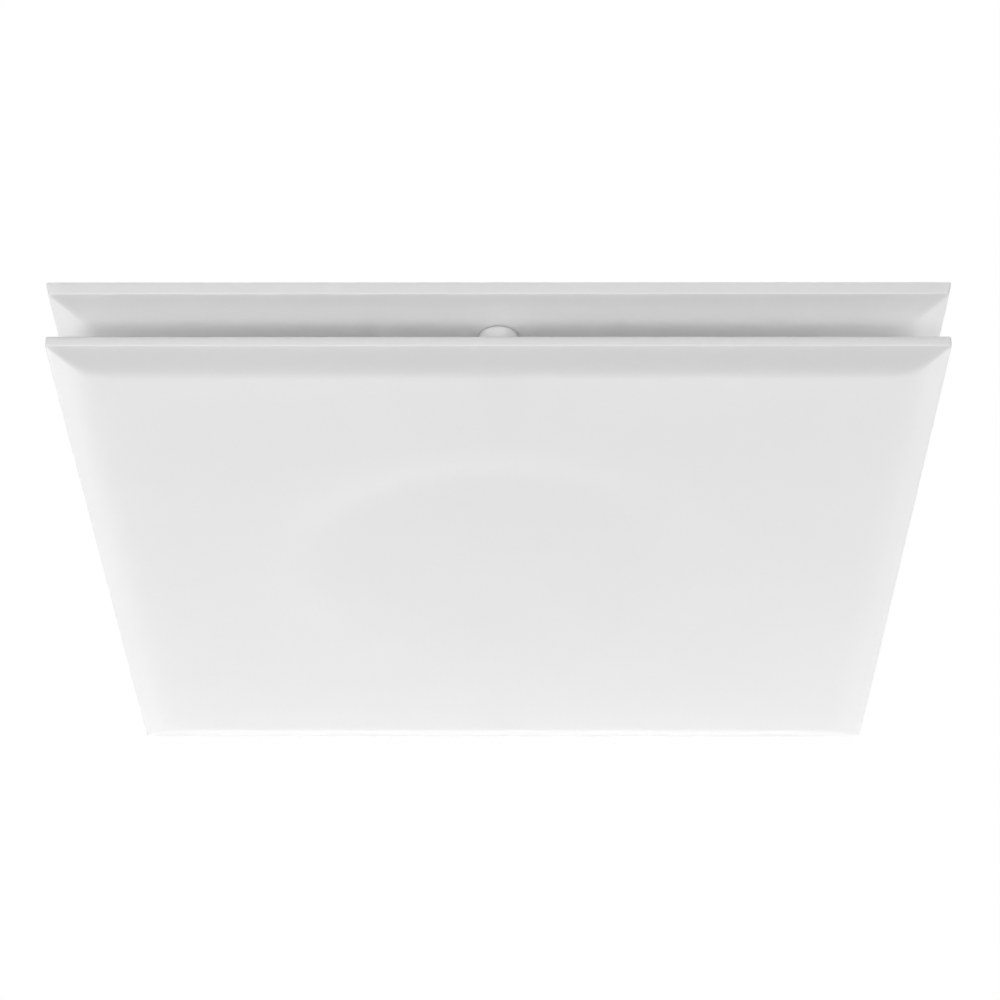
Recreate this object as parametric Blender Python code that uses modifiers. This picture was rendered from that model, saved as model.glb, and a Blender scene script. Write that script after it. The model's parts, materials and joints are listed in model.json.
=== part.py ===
"""Square plaque-face ceiling air diffuser for a 150 mm duct, in metres, +Z up.

The origin is the centre of the ceiling plane, which the frame's rim bears on. The frame's neck and
clamps stand above it, inside the ceiling's cut-out. The face panel hangs below the frame on four
magnet posts, and leaves a slot for the air on all four sides. A damper disc travels on a spindle
between the panel and the neck.
"""

import math

import bmesh
import bpy
from mathutils import Matrix

GAP = 0.0003                    # left between pieces that touch
WALL = 0.0025                   # wall of the two moulded trays

# The two trays: a rim band, a chamfer that blends into the flat, and their places
FRAME_SIZE = 0.3028
PANEL_SIZE = 0.3000
FRAME_RIM = 0.0042
PANEL_RIM = 0.0037
PANEL_TOP = -0.0208
RIM_DRAFT = 0.00045             # how far the rim's lower corner lies inside its top
CHAMFER_SLOPE = 0.34
CHAMFER_STRAIGHT = 0.0056
CHAMFER_BLEND = 0.0096
BLEND_STEPS = 4
FENCE_INSIDE = 0.0106           # the seal's seat, measured inward from the frame's edge
FENCE_OUTSIDE = 0.0094
FENCE_BELOW_RIM = 0.0008
LEDGE_BELOW_RIM = 0.0026
CHAMFER_WIDTH = CHAMFER_STRAIGHT + CHAMFER_BLEND
CHAMFER_DROP = CHAMFER_SLOPE * (CHAMFER_STRAIGHT + CHAMFER_BLEND / 2)
FRAME_UNDERSIDE = -FRAME_RIM - CHAMFER_DROP
FRAME_BACK = FRAME_UNDERSIDE + WALL
PANEL_FACE = PANEL_TOP - PANEL_RIM - CHAMFER_DROP
PANEL_FLOOR = PANEL_FACE + WALL
RIB_HALF = 0.001
BACK_RIB_START = 0.085
BACK_RIB_TOP = -0.0015
BACK_RIB_OFFSET = 0.042         # to each side of a post's line
PANEL_RIB_START = 0.080
PANEL_RIB_END = 0.185
PANEL_RIB_HEIGHT = 0.0018
SEAL_TOP = 0.001                # how far the foam stands proud of the ceiling plane
SEAL_EDGE = 0.0005

# Neck of the frame and the duct spigot on it
NECK_RADIUS = 0.0725
NECK_WALL = 0.0025
NECK_TOP = 0.014
BELL_RADIUS = 0.084
BELL_TOP = 0.004
BELL_STEPS = 3
BELL_LIP = 0.0004               # how far the bell's lip stands below the underside
BELL_LIP_WIDTH = 0.005
FLANGE_RADIUS = 0.090
FLANGE_THICKNESS = 0.0025
GASKET_THICKNESS = 0.0015
SPIGOT_BASE = NECK_TOP + GASKET_THICKNESS + 2 * GAP
SPIGOT_TOP = 0.047
SPIGOT_INSIDE = 0.0723
SPIGOT_OUTSIDE = 0.0743
SPIGOT_SEAL_RADIUS = 0.0760
SPIGOT_EDGE = 0.001
BEAD_HEIGHT = 0.0006
UPPER_BEAD = 0.0416             # underside of the bead above the seal
LOWER_BEAD = 0.0374             # top of the bead below it
UPPER_BEAD_TOP = 0.0424
LOWER_BEAD_BOTTOM = 0.0366
BEAD_SLOPE = 0.0002
SEAL_ROOT = 0.0006
SEAL_LIP_DROP = 0.0010
SEAL_LIP_THICKNESS = 0.0018
SPIGOT_SCREW_CIRCLE = 0.0825
SPIGOT_SCREW_ANGLES = (45, 135, 225, 315)
SPIGOT_SCREW_TIP = -0.0010
SPIGOT_SCREW_HEAD = (0.0032, 0.0022)
SCREW_SHANK = 0.0012
SCREW_BOSS_RADIUS = 0.004
BOSS_HOLE = 0.0015
BOSS_HOLE_BOTTOM = -0.002
FLANGE_HOLE = 0.0017
GASKET_HOLE = 0.0019

# Damper: cross bar, spindle and disc, with the disc at its lowest, fully open
BAR_HALF_LENGTH = 0.071
BAR_WIDTH = 0.020
BAR_BOTTOM = 0.0123
BAR_THICKNESS = 0.002
BAR_HEIGHT = 0.006
BAR_TOP = BAR_BOTTOM + BAR_THICKNESS
BAR_SIDE = 0.0015
BAR_SCREW_X = 0.065
BAR_SCREW_TIP = 0.0088
BAR_SCREW_HEAD = (0.0029, 0.0020)
BAR_HOLE = 0.0016
LUG_START = 0.058
LUG_END = 0.074
LUG_HALF_WIDTH = 0.011
LUG_BOTTOM = 0.0075
LUG_HOLE_BOTTOM = 0.0085
BUSH_RADIUS = 0.0066
BUSH_HEAD_RADIUS = 0.0080
BUSH_HEAD = 0.0021              # from the bar to the bush's top
SPINDLE_RADIUS = 0.004
SPINDLE_BOTTOM = PANEL_FLOOR + 0.0005
SPINDLE_TOP = 0.0205
GUIDE_ROD_X = 0.030
SPINDLE_EDGE = 0.0006
SPINDLE_GROOVE_RADIUS = 0.0031
SPINDLE_GROOVE = 0.0033         # from the bar to the clip's groove
SPINDLE_GROOVE_HEIGHT = 0.0011
COLLAR_RADIUS = 0.0065
COLLAR_THICKNESS = 0.0015
DRIVER_SLOT_HALF = 0.0007
DRIVER_SLOT_DEPTH = 0.0022
WASHER_RADIUS = 0.0075
WASHER_THICKNESS = 0.0007
CLIP_RADIUS = 0.0062
CLIP_INSIDE = 0.0034
CLIP_MOUTH_HALF = 0.0022
GUIDE_ROD_RADIUS = 0.002
ROD_HEAD_RADIUS = 0.0032
ROD_HEAD_FLAT = 0.0022
ROD_HEAD_HEIGHT = 0.0015
ROD_HEAD_EDGE = 0.0007
ROD_SHOULDER_RADIUS = 0.003
ROD_SHOULDER_HEIGHT = 0.0016
ROD_EDGE = 0.0005
ROD_WAY = 0.0006                # clearance of the disc round each guide rod
DISC_RADIUS = 0.069
DISC_TOP = -0.0175
DISC_THICKNESS = 0.002
DISC_EDGE = 0.002               # width and depth of the turned-down edge
DISC_HOLE = 0.008
NUT_TOP = 0.0034                # heights of the nut, from the disc's top
NUT_BARB_HEIGHT = 0.0006
NUT_TOP_RADIUS = 0.0070
NUT_BARB_RADIUS = 0.0085
NUT_HUB_RADIUS = 0.0077
NUT_FLANGE_RADIUS = 0.0120
NUT_FLANGE_THICKNESS = 0.0022
DAMPER_SEAL_RADIUS = 0.0717
DAMPER_SEAL_LIP = (0.0013, 0.0019)
DAMPER_SEAL_DEPTH = 0.0035

# Posts with magnets, between panel and frame
POST_OFFSET = 0.1302            # from the centre to each post
POST_RADIUS = 0.00665
POST_TOP = FRAME_UNDERSIDE - GAP
POST_EDGE = 0.0003
STUB_RADIUS = 0.0037
STUB_HEIGHT = 0.0070
STUB_PILOT = 0.0011
STUB_BORE = 0.0040
WEB_THICKNESS = 0.0030
WEB_HOLE = 0.0016
SCREW_ROOM = 0.0034
SCREW_ROOM_HEIGHT = 0.0023
MAGNET_POCKET = 0.0052
MAGNET_RADIUS = 0.0049
MAGNET_EDGE = 0.0004
POST_SCREW_SHANK = 0.0008
POST_SCREW_HEAD = (0.0028, 0.0016)
KEEPER_RADIUS = 0.0056
KEEPER_THICKNESS = 0.0015
KEEPER_RECESS = 0.0002
KEEPER_BOSS_RADIUS = 0.0085
KEEPER_BOSS_TOP = -0.001
KEEPER_POCKET = 0.0021
KEEPER_HOLE = 0.0013
KEEPER_HOLE_TOP = -0.0018
COUNTERSINK = (0.0030, 0.0014)
KEEPER_SCREW_TIP = -0.0022
KEEPER_SCREW_SHOULDER = -0.0030
KEEPER_SCREW_SHANK = 0.0009
KEEPER_SCREW_HEAD = 0.0025
KEEPER_SLOT = (0.0013, 0.0002, 0.0008)

# Swing-out ceiling clamps
CLAMP_CIRCLE = 0.106            # from the centre to each clamp screw
TOWER_TOP = 0.040
TOWER_BASE = 0.0005
TOWER_REACH = 0.0070
TOWER_FACE = 0.0056             # from the screw's axis to the two stop walls
TOWER_WALL = 0.0025
DOG_LENGTH = 0.024
DOG_RADIUS = 0.0052
DOG_BOTTOM = 0.0295
DOG_TOP = 0.0355
DOG_BORE = 0.0037
ARM_HALF = 0.0048
ARM_RAISED = 0.001
ARM_LOWERED = 0.0002
TOOTH_HALF = 0.0047
TOOTH_INSET = 0.0001
TOOTH_WIDTH = 0.004
TOOTH_DEPTH = 0.002
TOOTH_LOWERED = 0.001
CLAMP_SCREW_RADIUS = 0.002
CLAMP_SCREW_SHORT = 0.0005      # from the tower's top down to the screw's tip
CLAMP_SCREW_TAPER = 0.0015
CLAMP_HEAD_RADIUS = 0.0038
CLAMP_HEAD_FLAT = 0.0030
CLAMP_HEAD_EDGE = 0.0008
CLAMP_RECESS_RADIUS = 0.0042
CLAMP_RECESS_DEPTH = 0.004
CLAMP_SLOT = (0.0022, 0.0005, 0.0018)
CLAMP_CLIP_RADIUS = 0.0045
CLAMP_CLIP_BOTTOM = 0.0008
CLAMP_CLIP_TOP = 0.0014
CLAMP_NUT_FLANGE = 0.0050
CLAMP_NUT_FLANGE_TOP = 0.0015
CLAMP_NUT_RADIUS = 0.0034
CLAMP_NUT_LIP = (0.0041, 0.0038)
CLAMP_NUT_LIP_BOTTOM = 0.0009

# Proportions of a pan-head screw's head and cross recess
HEAD_FLAT = 0.6
HEAD_EDGE = 0.5
RECESS_REACH = 0.55
RECESS_HALF = 0.22
RECESS_DEPTH = 0.45

# Additions start this deep inside their base, and cutters go this far past what they cut
ROOT = 0.001
OVERSHOOT = 0.001
CUT_LOW = -0.03
CUT_HIGH = 0.03

# Facets of the round pieces
RING_STEPS = 32                 # neck, spigot, disc and their seals
POST_STEPS = 16
FIT_STEPS = 12                  # dogs, magnets, keepers and clamp screws
SCREW_STEPS = 8                 # small screws, rods and their holes
SHARP_ANGLE = math.radians(32)

FINISHES = {
    "white_abs": ((0.83, 0.83, 0.83), 0.5, 0.0),
    "zinc_steel": ((0.62, 0.63, 0.65), 0.35, 1.0),
    "spring_steel": ((0.30, 0.31, 0.33), 0.4, 1.0),
    "brass": ((0.72, 0.55, 0.27), 0.3, 1.0),
    "nickel": ((0.70, 0.69, 0.66), 0.25, 1.0),
    "black_rubber": ((0.03, 0.03, 0.03), 0.7, 0.0),
    "grey_foam": ((0.22, 0.22, 0.23), 0.9, 0.0),
    "nylon": ((0.80, 0.78, 0.72), 0.45, 0.0),
}


def clear_scene():
    for obj in list(bpy.data.objects):
        bpy.data.objects.remove(obj, do_unlink=True)


def new_collection(name):
    collection = bpy.data.collections.new(name)
    bpy.context.scene.collection.children.link(collection)
    return collection


clear_scene()
PARTS = new_collection("ceiling_air_diffuser")
HELPERS = new_collection("cutters_and_additions")


def new_material(name, finish):
    """A Principled BSDF material of its own for one sub-part."""
    colour, roughness, metallic = FINISHES[finish]
    material = bpy.data.materials.new(f"{name}_{finish}")
    material.use_nodes = True
    shader = material.node_tree.nodes["Principled BSDF"]
    shader.inputs["Base Color"].default_value = (*colour, 1.0)
    shader.inputs["Roughness"].default_value = roughness
    shader.inputs["Metallic"].default_value = metallic
    return material


def new_object(name, mesh):
    """A part of the diffuser, until something uses it as a helper."""
    obj = bpy.data.objects.new(name, mesh)
    PARTS.objects.link(obj)
    return obj


def turned(name, profile, steps, closed=False):
    """Turns (radius, height) points round Z. They run down the outer side, from top to bottom."""
    edges = [(i, i + 1) for i in range(len(profile) - 1)]
    if closed:
        edges.append((len(profile) - 1, 0))
    mesh = bpy.data.meshes.new(name)
    mesh.from_pydata([(radius, 0.0, height) for radius, height in profile], edges, [])
    obj = new_object(name, mesh)
    screw = obj.modifiers.new("Turn", "SCREW")
    screw.steps = screw.render_steps = steps
    screw.use_merge_vertices = True
    screw.merge_threshold = 0.00001
    return obj


def square_turned(name, profile, closed=False):
    """The same in four steps, so that (half width, height) points make a square with mitred corners."""
    corner = [(half * math.sqrt(2), height) for half, height in profile]
    obj = turned(name, corner, 4, closed)
    obj.rotation_euler.z = math.radians(45)
    return obj


def box(name, low, high):
    """A box between two opposite corners."""
    bm = bmesh.new()
    size = [b - a for a, b in zip(low, high)]
    middle = [(a + b) / 2 for a, b in zip(low, high)]
    bmesh.ops.create_cube(bm, matrix=Matrix.Translation(middle) @ Matrix.Diagonal((*size, 1)))
    mesh = bpy.data.meshes.new(name)
    bm.to_mesh(mesh)
    bm.free()
    return new_object(name, mesh)


def cylinder(name, radius, bottom, top, steps=SCREW_STEPS):
    return turned(name, [(0, top), (radius, top), (radius, bottom), (0, bottom)], steps)


def stepped_hole(wide, shoulder, narrow, top):
    """The profile of a hole from below, wide up to its shoulder and narrow above it."""
    return [(0, top), (narrow, top), (narrow, shoulder), (wide, shoulder), (wide, CUT_LOW),
            (0, CUT_LOW)]


def combine(obj, helper, operation):
    """Unites the helper with the object, or cuts it out, and puts the helper out of sight."""
    for collection in helper.users_collection:
        collection.objects.unlink(helper)
    HELPERS.objects.link(helper)
    helper.hide_render = True
    helper.display_type = "WIRE"
    boolean = obj.modifiers.new(helper.name, "BOOLEAN")
    boolean.operation = operation
    boolean.object = helper


def add(obj, *helpers):
    for helper in helpers:
        combine(obj, helper, "UNION")


def cut(obj, *helpers):
    for helper in helpers:
        combine(obj, helper, "DIFFERENCE")


def around(angle, radius=0.0):
    """The place at this angle round Z and distance from it, turned to face outward."""
    turn = Matrix.Rotation(math.radians(angle), 4, "Z")
    return turn @ Matrix.Translation((radius, 0, 0))


def placed(obj, place):
    obj.matrix_world = place
    return obj


def applied(obj):
    """Applies the modifiers, so that the object can be moved away from its helpers."""
    bpy.context.view_layer.update()
    graph = bpy.context.evaluated_depsgraph_get()
    mesh = bpy.data.meshes.new_from_object(obj.evaluated_get(graph))
    mesh.name = obj.name
    obj.modifiers.clear()
    obj.data = mesh
    return obj


def finished(obj, finish, parent=None):
    """Applies the modifiers, shades the round faces smooth and gives the part its own material."""
    mesh = applied(obj).data
    mesh.shade_smooth()
    mesh.set_sharp_from_angle(angle=SHARP_ANGLE)
    mesh.materials.clear()
    mesh.materials.append(new_material(obj.name, finish))
    obj.parent = parent
    return obj


def repeated(prototype, name, places, finish, parents=None):
    """Numbered copies of a part that share its mesh. The prototype itself is removed."""
    finished(prototype, finish)
    mesh = prototype.data
    mesh.name = name
    for number, place in enumerate(places, 1):
        copy = new_object(f"{name}_{number}", mesh)
        copy.matrix_world = place
        if parents:
            copy.parent = parents[number - 1]
    bpy.data.objects.remove(prototype)


def empty(name, place):
    """The parent of a moving body, on its joint's axis."""
    obj = bpy.data.objects.new(name, None)
    obj.empty_display_size = 0.02
    obj.matrix_world = place
    PARTS.objects.link(obj)
    return obj


def pan_head_screw(name, radius, tip, seat, head_radius, head_height):
    """A screw with a domed head on its seat and a cross recess. The seat is above the tip."""
    top = seat + head_height
    screw = turned(name, [
        (0, top), (head_radius * HEAD_FLAT, top), (head_radius, top - head_height * HEAD_EDGE),
        (head_radius, seat), (radius, seat), (radius, tip + radius), (0, tip)], SCREW_STEPS)
    reach = head_radius * RECESS_REACH
    half = radius * RECESS_HALF
    for angle in (0, 90):
        slot = box(f"{name}_slot", (-reach, -half, top - head_height * RECESS_DEPTH),
                   (reach, half, top + OVERSHOOT))
        cut(screw, placed(slot, around(angle)))
    return screw


def chamfer_drop(inset):
    """How far the tray's outer face lies below its rim, at this distance inside the tray's edge."""
    run = min(max(inset - RIM_DRAFT, 0.0), CHAMFER_WIDTH)
    bend = max(0.0, run - CHAMFER_STRAIGHT)
    return CHAMFER_SLOPE * (run - bend * bend / (2 * CHAMFER_BLEND))


def tray(name, size, top, rim, seal_seat=False):
    """A shallow square tray, open upward, with a chamfer below its rim that fades into the flat.

    With a seal seat, the inside has a fence and a ledge next to the rim for a strip of foam.
    """
    half = size / 2
    bend = RIM_DRAFT + CHAMFER_STRAIGHT
    blend = [bend + CHAMFER_BLEND * i / BLEND_STEPS for i in range(BLEND_STEPS + 1)]
    face = top - rim - CHAMFER_DROP

    def outer(inset):
        return (half - inset, top - rim - chamfer_drop(inset))

    def inner(inset):
        return (half - inset, top - rim - chamfer_drop(inset) + WALL)

    if seal_seat:
        inside = [inner(inset) for inset in reversed(blend) if inset > FENCE_INSIDE]
        inside += [inner(FENCE_INSIDE), (half - FENCE_INSIDE, top - FENCE_BELOW_RIM),
                   (half - FENCE_OUTSIDE, top - FENCE_BELOW_RIM),
                   (half - FENCE_OUTSIDE, top - LEDGE_BELOW_RIM), (half - WALL, top - LEDGE_BELOW_RIM)]
    else:
        inside = [inner(inset) for inset in reversed(blend)] + [inner(WALL)]
    profile = [(0, face + WALL), *inside, (half - WALL, top), (half, top), outer(RIM_DRAFT),
               *[outer(inset) for inset in blend], (0, face)]
    return square_turned(name, profile)


def bell_mouth():
    """The frame's neck: a bell mouth from the underside up to a straight throat, with a top flange."""
    lip_bottom = FRAME_UNDERSIDE - BELL_LIP
    lip_back = FRAME_BACK - BELL_LIP
    lip_radius = BELL_RADIUS + BELL_LIP_WIDTH
    outer_radius = NECK_RADIUS + NECK_WALL
    angles = [math.radians(90 * i / BELL_STEPS) for i in range(BELL_STEPS + 1)]
    outside = [(BELL_RADIUS - (BELL_RADIUS - outer_radius) * math.sin(a),
                BELL_TOP - (BELL_TOP - lip_back) * math.cos(a)) for a in reversed(angles)]
    inside = [(BELL_RADIUS - (BELL_RADIUS - NECK_RADIUS) * math.sin(a),
               BELL_TOP - (BELL_TOP - lip_bottom) * math.cos(a)) for a in angles]
    profile = [(FLANGE_RADIUS, NECK_TOP), (FLANGE_RADIUS, NECK_TOP - FLANGE_THICKNESS),
               (outer_radius, NECK_TOP - FLANGE_THICKNESS), *outside, (lip_radius, lip_back),
               (lip_radius, lip_bottom), *inside, (NECK_RADIUS, NECK_TOP)]
    return turned("bell_mouth", profile, RING_STEPS, closed=True)


def clamp_tower(name):
    """One clamp's base, its two stop walls and the bridge that steadies the screw's tip."""
    far = TOWER_FACE + TOWER_WALL
    tower = box(name, (-far, -TOWER_REACH, FRAME_BACK - ROOT), (TOWER_REACH, far, TOWER_TOP))
    cut(tower, box(name + "_room", (-TOWER_FACE, -2 * far, TOWER_BASE),
                   (2 * far, TOWER_FACE, TOWER_TOP - TOWER_WALL)))
    return applied(tower)


def ceiling_frame():
    """The upper tray with its neck, clamp towers, keeper bosses, ribs and the seal's seat."""
    frame = tray("ceiling_frame", FRAME_SIZE, 0.0, FRAME_RIM, seal_seat=True)
    cut(frame, cylinder("neck_opening", BELL_RADIUS + ROOT, CUT_LOW, CUT_HIGH, RING_STEPS))
    add(frame, bell_mouth())
    base = FRAME_BACK - ROOT
    rib_end = FRAME_SIZE / 2 - FENCE_INSIDE - GAP
    sides = [around(angle, POST_OFFSET) for angle in (0, 90, 180, 270)]
    corners = [around(angle, CLAMP_CIRCLE) for angle in (45, 135, 225, 315)]
    for angle in (0, 180):
        lug = box("bar_lug", (LUG_START, -LUG_HALF_WIDTH, LUG_BOTTOM),
                  (LUG_END, LUG_HALF_WIDTH, BAR_BOTTOM - GAP))
        add(frame, placed(lug, around(angle)))
    for side, corner, angle in zip(sides, corners, (0, 90, 180, 270)):
        add(frame,
            placed(cylinder("screw_boss", SCREW_BOSS_RADIUS, base, NECK_TOP - ROOT),
                   around(angle + 45, SPIGOT_SCREW_CIRCLE)),
            placed(cylinder("keeper_boss", KEEPER_BOSS_RADIUS, base, KEEPER_BOSS_TOP, FIT_STEPS), side),
            placed(clamp_tower("clamp_tower"), corner))
        for offset in (-BACK_RIB_OFFSET, BACK_RIB_OFFSET):
            rib = box("back_rib", (BACK_RIB_START, offset - RIB_HALF, base),
                      (rib_end, offset + RIB_HALF, BACK_RIB_TOP))
            add(frame, placed(rib, around(angle)))
    bore = CLAMP_SCREW_RADIUS + GAP
    pocket_top = FRAME_UNDERSIDE + KEEPER_POCKET
    recess_top = FRAME_UNDERSIDE + CLAMP_RECESS_DEPTH
    for side, corner, angle in zip(sides, corners, (0, 90, 180, 270)):
        cut(frame,
            placed(cylinder("spigot_screw_hole", BOSS_HOLE, BOSS_HOLE_BOTTOM, CUT_HIGH),
                   around(angle + 45, SPIGOT_SCREW_CIRCLE)),
            placed(turned("keeper_pocket", stepped_hole(
                KEEPER_RADIUS + GAP, pocket_top, KEEPER_HOLE, KEEPER_HOLE_TOP), FIT_STEPS), side),
            placed(turned("clamp_hole", stepped_hole(
                CLAMP_RECESS_RADIUS, recess_top, bore, TOWER_TOP + OVERSHOOT), FIT_STEPS), corner))
    for angle in (0, 180):
        cut(frame, placed(cylinder("bar_screw_hole", BOSS_HOLE, LUG_HOLE_BOTTOM, CUT_HIGH),
                          around(angle, BAR_SCREW_X)))
    finished(frame, "white_abs")


def ceiling_seal():
    """Square foam strip on the frame's ledge. It stands proud of the rim until it is pressed."""
    half = FRAME_SIZE / 2
    outside = half - WALL - GAP
    inside = half - FENCE_OUTSIDE + GAP
    bottom = -LEDGE_BELOW_RIM + GAP
    seal = square_turned("ceiling_seal", [
        (outside - SEAL_EDGE, SEAL_TOP), (outside, SEAL_TOP - SEAL_EDGE), (outside, bottom),
        (inside, bottom), (inside, SEAL_TOP - SEAL_EDGE), (inside + SEAL_EDGE, SEAL_TOP)],
        closed=True)
    finished(seal, "grey_foam")


def duct_spigot():
    """Flanged collar that the duct slides over, with two beads that hold the seal ring."""
    bead = SPIGOT_OUTSIDE + BEAD_HEIGHT
    flange_top = SPIGOT_BASE + FLANGE_THICKNESS
    spigot = turned("duct_spigot", [
        (SPIGOT_OUTSIDE - SPIGOT_EDGE, SPIGOT_TOP), (SPIGOT_OUTSIDE, SPIGOT_TOP - SPIGOT_EDGE),
        (SPIGOT_OUTSIDE, UPPER_BEAD_TOP), (bead, UPPER_BEAD_TOP - BEAD_SLOPE), (bead, UPPER_BEAD),
        (SPIGOT_OUTSIDE, UPPER_BEAD), (SPIGOT_OUTSIDE, LOWER_BEAD), (bead, LOWER_BEAD),
        (bead, LOWER_BEAD_BOTTOM + BEAD_SLOPE), (SPIGOT_OUTSIDE, LOWER_BEAD_BOTTOM),
        (SPIGOT_OUTSIDE, flange_top), (FLANGE_RADIUS, flange_top), (FLANGE_RADIUS, SPIGOT_BASE),
        (SPIGOT_INSIDE, SPIGOT_BASE), (SPIGOT_INSIDE, SPIGOT_TOP)], RING_STEPS, closed=True)
    for angle in SPIGOT_SCREW_ANGLES:
        cut(spigot, placed(cylinder("flange_hole", FLANGE_HOLE, NECK_TOP, CUT_HIGH),
                           around(angle, SPIGOT_SCREW_CIRCLE)))
    finished(spigot, "white_abs")


def neck_gasket():
    bottom = NECK_TOP + GAP
    top = bottom + GASKET_THICKNESS
    inside = NECK_RADIUS
    gasket = turned("neck_gasket", [(FLANGE_RADIUS, top), (FLANGE_RADIUS, bottom),
                                    (inside, bottom), (inside, top)], RING_STEPS, closed=True)
    for angle in SPIGOT_SCREW_ANGLES:
        cut(gasket, placed(cylinder("gasket_hole", GASKET_HOLE, 0.0, CUT_HIGH),
                           around(angle, SPIGOT_SCREW_CIRCLE)))
    finished(gasket, "grey_foam")


def spigot_seal():
    """Rubber ring between the collar's beads, with two lips that bend as the duct goes on."""
    inside = SPIGOT_OUTSIDE + GAP
    bottom = LOWER_BEAD + GAP
    top = UPPER_BEAD - GAP
    lip = SPIGOT_SEAL_RADIUS
    root = inside + SEAL_ROOT
    seal = turned("spigot_seal", [
        (root, top), (lip, top - SEAL_LIP_DROP), (root, top - SEAL_LIP_THICKNESS), (lip, bottom),
        (inside, bottom), (inside, top)], RING_STEPS, closed=True)
    finished(seal, "black_rubber")


def spigot_screws():
    seat = SPIGOT_BASE + FLANGE_THICKNESS + GAP
    screw = pan_head_screw("spigot_screw", SCREW_SHANK, SPIGOT_SCREW_TIP, seat, *SPIGOT_SCREW_HEAD)
    places = [around(angle, SPIGOT_SCREW_CIRCLE) for angle in SPIGOT_SCREW_ANGLES]
    repeated(screw, "spigot_screw", places, "zinc_steel")


def cross_bar():
    """Folded steel channel across the neck, on the frame's two lugs."""
    half = BAR_WIDTH / 2
    bar = box("cross_bar", (-BAR_HALF_LENGTH, -half, BAR_BOTTOM),
              (BAR_HALF_LENGTH, half, BAR_BOTTOM + BAR_HEIGHT))
    inner = half - BAR_SIDE
    cut(bar,
        box("channel", (-BAR_HALF_LENGTH - OVERSHOOT, -inner, BAR_TOP),
            (BAR_HALF_LENGTH + OVERSHOOT, inner, BAR_BOTTOM + BAR_HEIGHT + OVERSHOOT)),
        cylinder("bush_hole", BUSH_RADIUS + GAP, 0.0, CUT_HIGH, POST_STEPS))
    for angle in (0, 180):
        cut(bar,
            placed(cylinder("rod_hole", GUIDE_ROD_RADIUS + GAP, 0.0, CUT_HIGH),
                   around(angle, GUIDE_ROD_X)),
            placed(cylinder("bar_hole", BAR_HOLE, 0.0, CUT_HIGH), around(angle, BAR_SCREW_X)))
    finished(bar, "zinc_steel")


def bar_screws():
    screw = pan_head_screw("bar_screw", SCREW_SHANK, BAR_SCREW_TIP, BAR_TOP + GAP, *BAR_SCREW_HEAD)
    repeated(screw, "bar_screw", [around(angle, BAR_SCREW_X) for angle in (0, 180)], "zinc_steel")


def guide_rods():
    """Riveted into the bar: a head above it, a shoulder below it, and a plain rod for the disc."""
    radius = GUIDE_ROD_RADIUS
    bottom = SPINDLE_BOTTOM + ROD_EDGE
    shoulder = BAR_BOTTOM - GAP
    shoulder_bottom = shoulder - ROD_SHOULDER_HEIGHT
    head_top = BAR_TOP + ROD_HEAD_HEIGHT
    rod = turned("guide_rod", [
        (0, head_top), (ROD_HEAD_FLAT, head_top), (ROD_HEAD_RADIUS, BAR_TOP + ROD_HEAD_EDGE),
        (ROD_HEAD_RADIUS, BAR_TOP + GAP), (radius, BAR_TOP + GAP), (radius, shoulder),
        (ROD_SHOULDER_RADIUS, shoulder), (ROD_SHOULDER_RADIUS, shoulder_bottom),
        (radius, shoulder_bottom), (radius, bottom + ROD_EDGE), (radius - ROD_EDGE, bottom),
        (0, bottom)], SCREW_STEPS)
    repeated(rod, "guide_rod", [around(angle, GUIDE_ROD_X) for angle in (0, 180)], "zinc_steel")


def spindle_bush():
    bore = SPINDLE_RADIUS + GAP
    top = BAR_TOP + BUSH_HEAD
    bottom = BAR_BOTTOM - GAP / 3
    bush = turned("spindle_bush", [
        (BUSH_HEAD_RADIUS, top), (BUSH_HEAD_RADIUS, BAR_TOP + GAP), (BUSH_RADIUS, BAR_TOP + GAP),
        (BUSH_RADIUS, bottom), (bore, bottom), (bore, top)], POST_STEPS, closed=True)
    finished(bush, "nylon")


def lead_screw(body):
    """Spindle with a collar under the bush, a clip groove above it and a driver slot below."""
    radius = SPINDLE_RADIUS
    collar_top = BAR_BOTTOM - GAP * 4 / 3
    collar_bottom = collar_top - COLLAR_THICKNESS
    groove = BAR_TOP + SPINDLE_GROOVE
    groove_top = groove + SPINDLE_GROOVE_HEIGHT
    spindle = turned("lead_screw", [
        (0, SPINDLE_TOP), (radius - SPINDLE_EDGE, SPINDLE_TOP), (radius, SPINDLE_TOP - SPINDLE_EDGE),
        (radius, groove_top), (SPINDLE_GROOVE_RADIUS, groove_top), (SPINDLE_GROOVE_RADIUS, groove),
        (radius, groove), (radius, collar_top), (COLLAR_RADIUS, collar_top),
        (COLLAR_RADIUS, collar_bottom), (radius, collar_bottom),
        (radius, SPINDLE_BOTTOM + SPINDLE_EDGE), (radius - SPINDLE_EDGE, SPINDLE_BOTTOM),
        (0, SPINDLE_BOTTOM)], POST_STEPS)
    cut(spindle, box("driver_slot", (-2 * radius, -DRIVER_SLOT_HALF, SPINDLE_BOTTOM - OVERSHOOT),
                     (2 * radius, DRIVER_SLOT_HALF, SPINDLE_BOTTOM + DRIVER_SLOT_DEPTH)))
    finished(spindle, "nylon", body)


def thrust_washer(body):
    bottom = BAR_TOP + BUSH_HEAD + GAP
    top = bottom + WASHER_THICKNESS
    bore = SPINDLE_RADIUS + GAP
    washer = turned("thrust_washer", [
        (WASHER_RADIUS, top), (WASHER_RADIUS, bottom), (bore, bottom), (bore, top)],
        POST_STEPS, closed=True)
    finished(washer, "zinc_steel", body)


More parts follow.
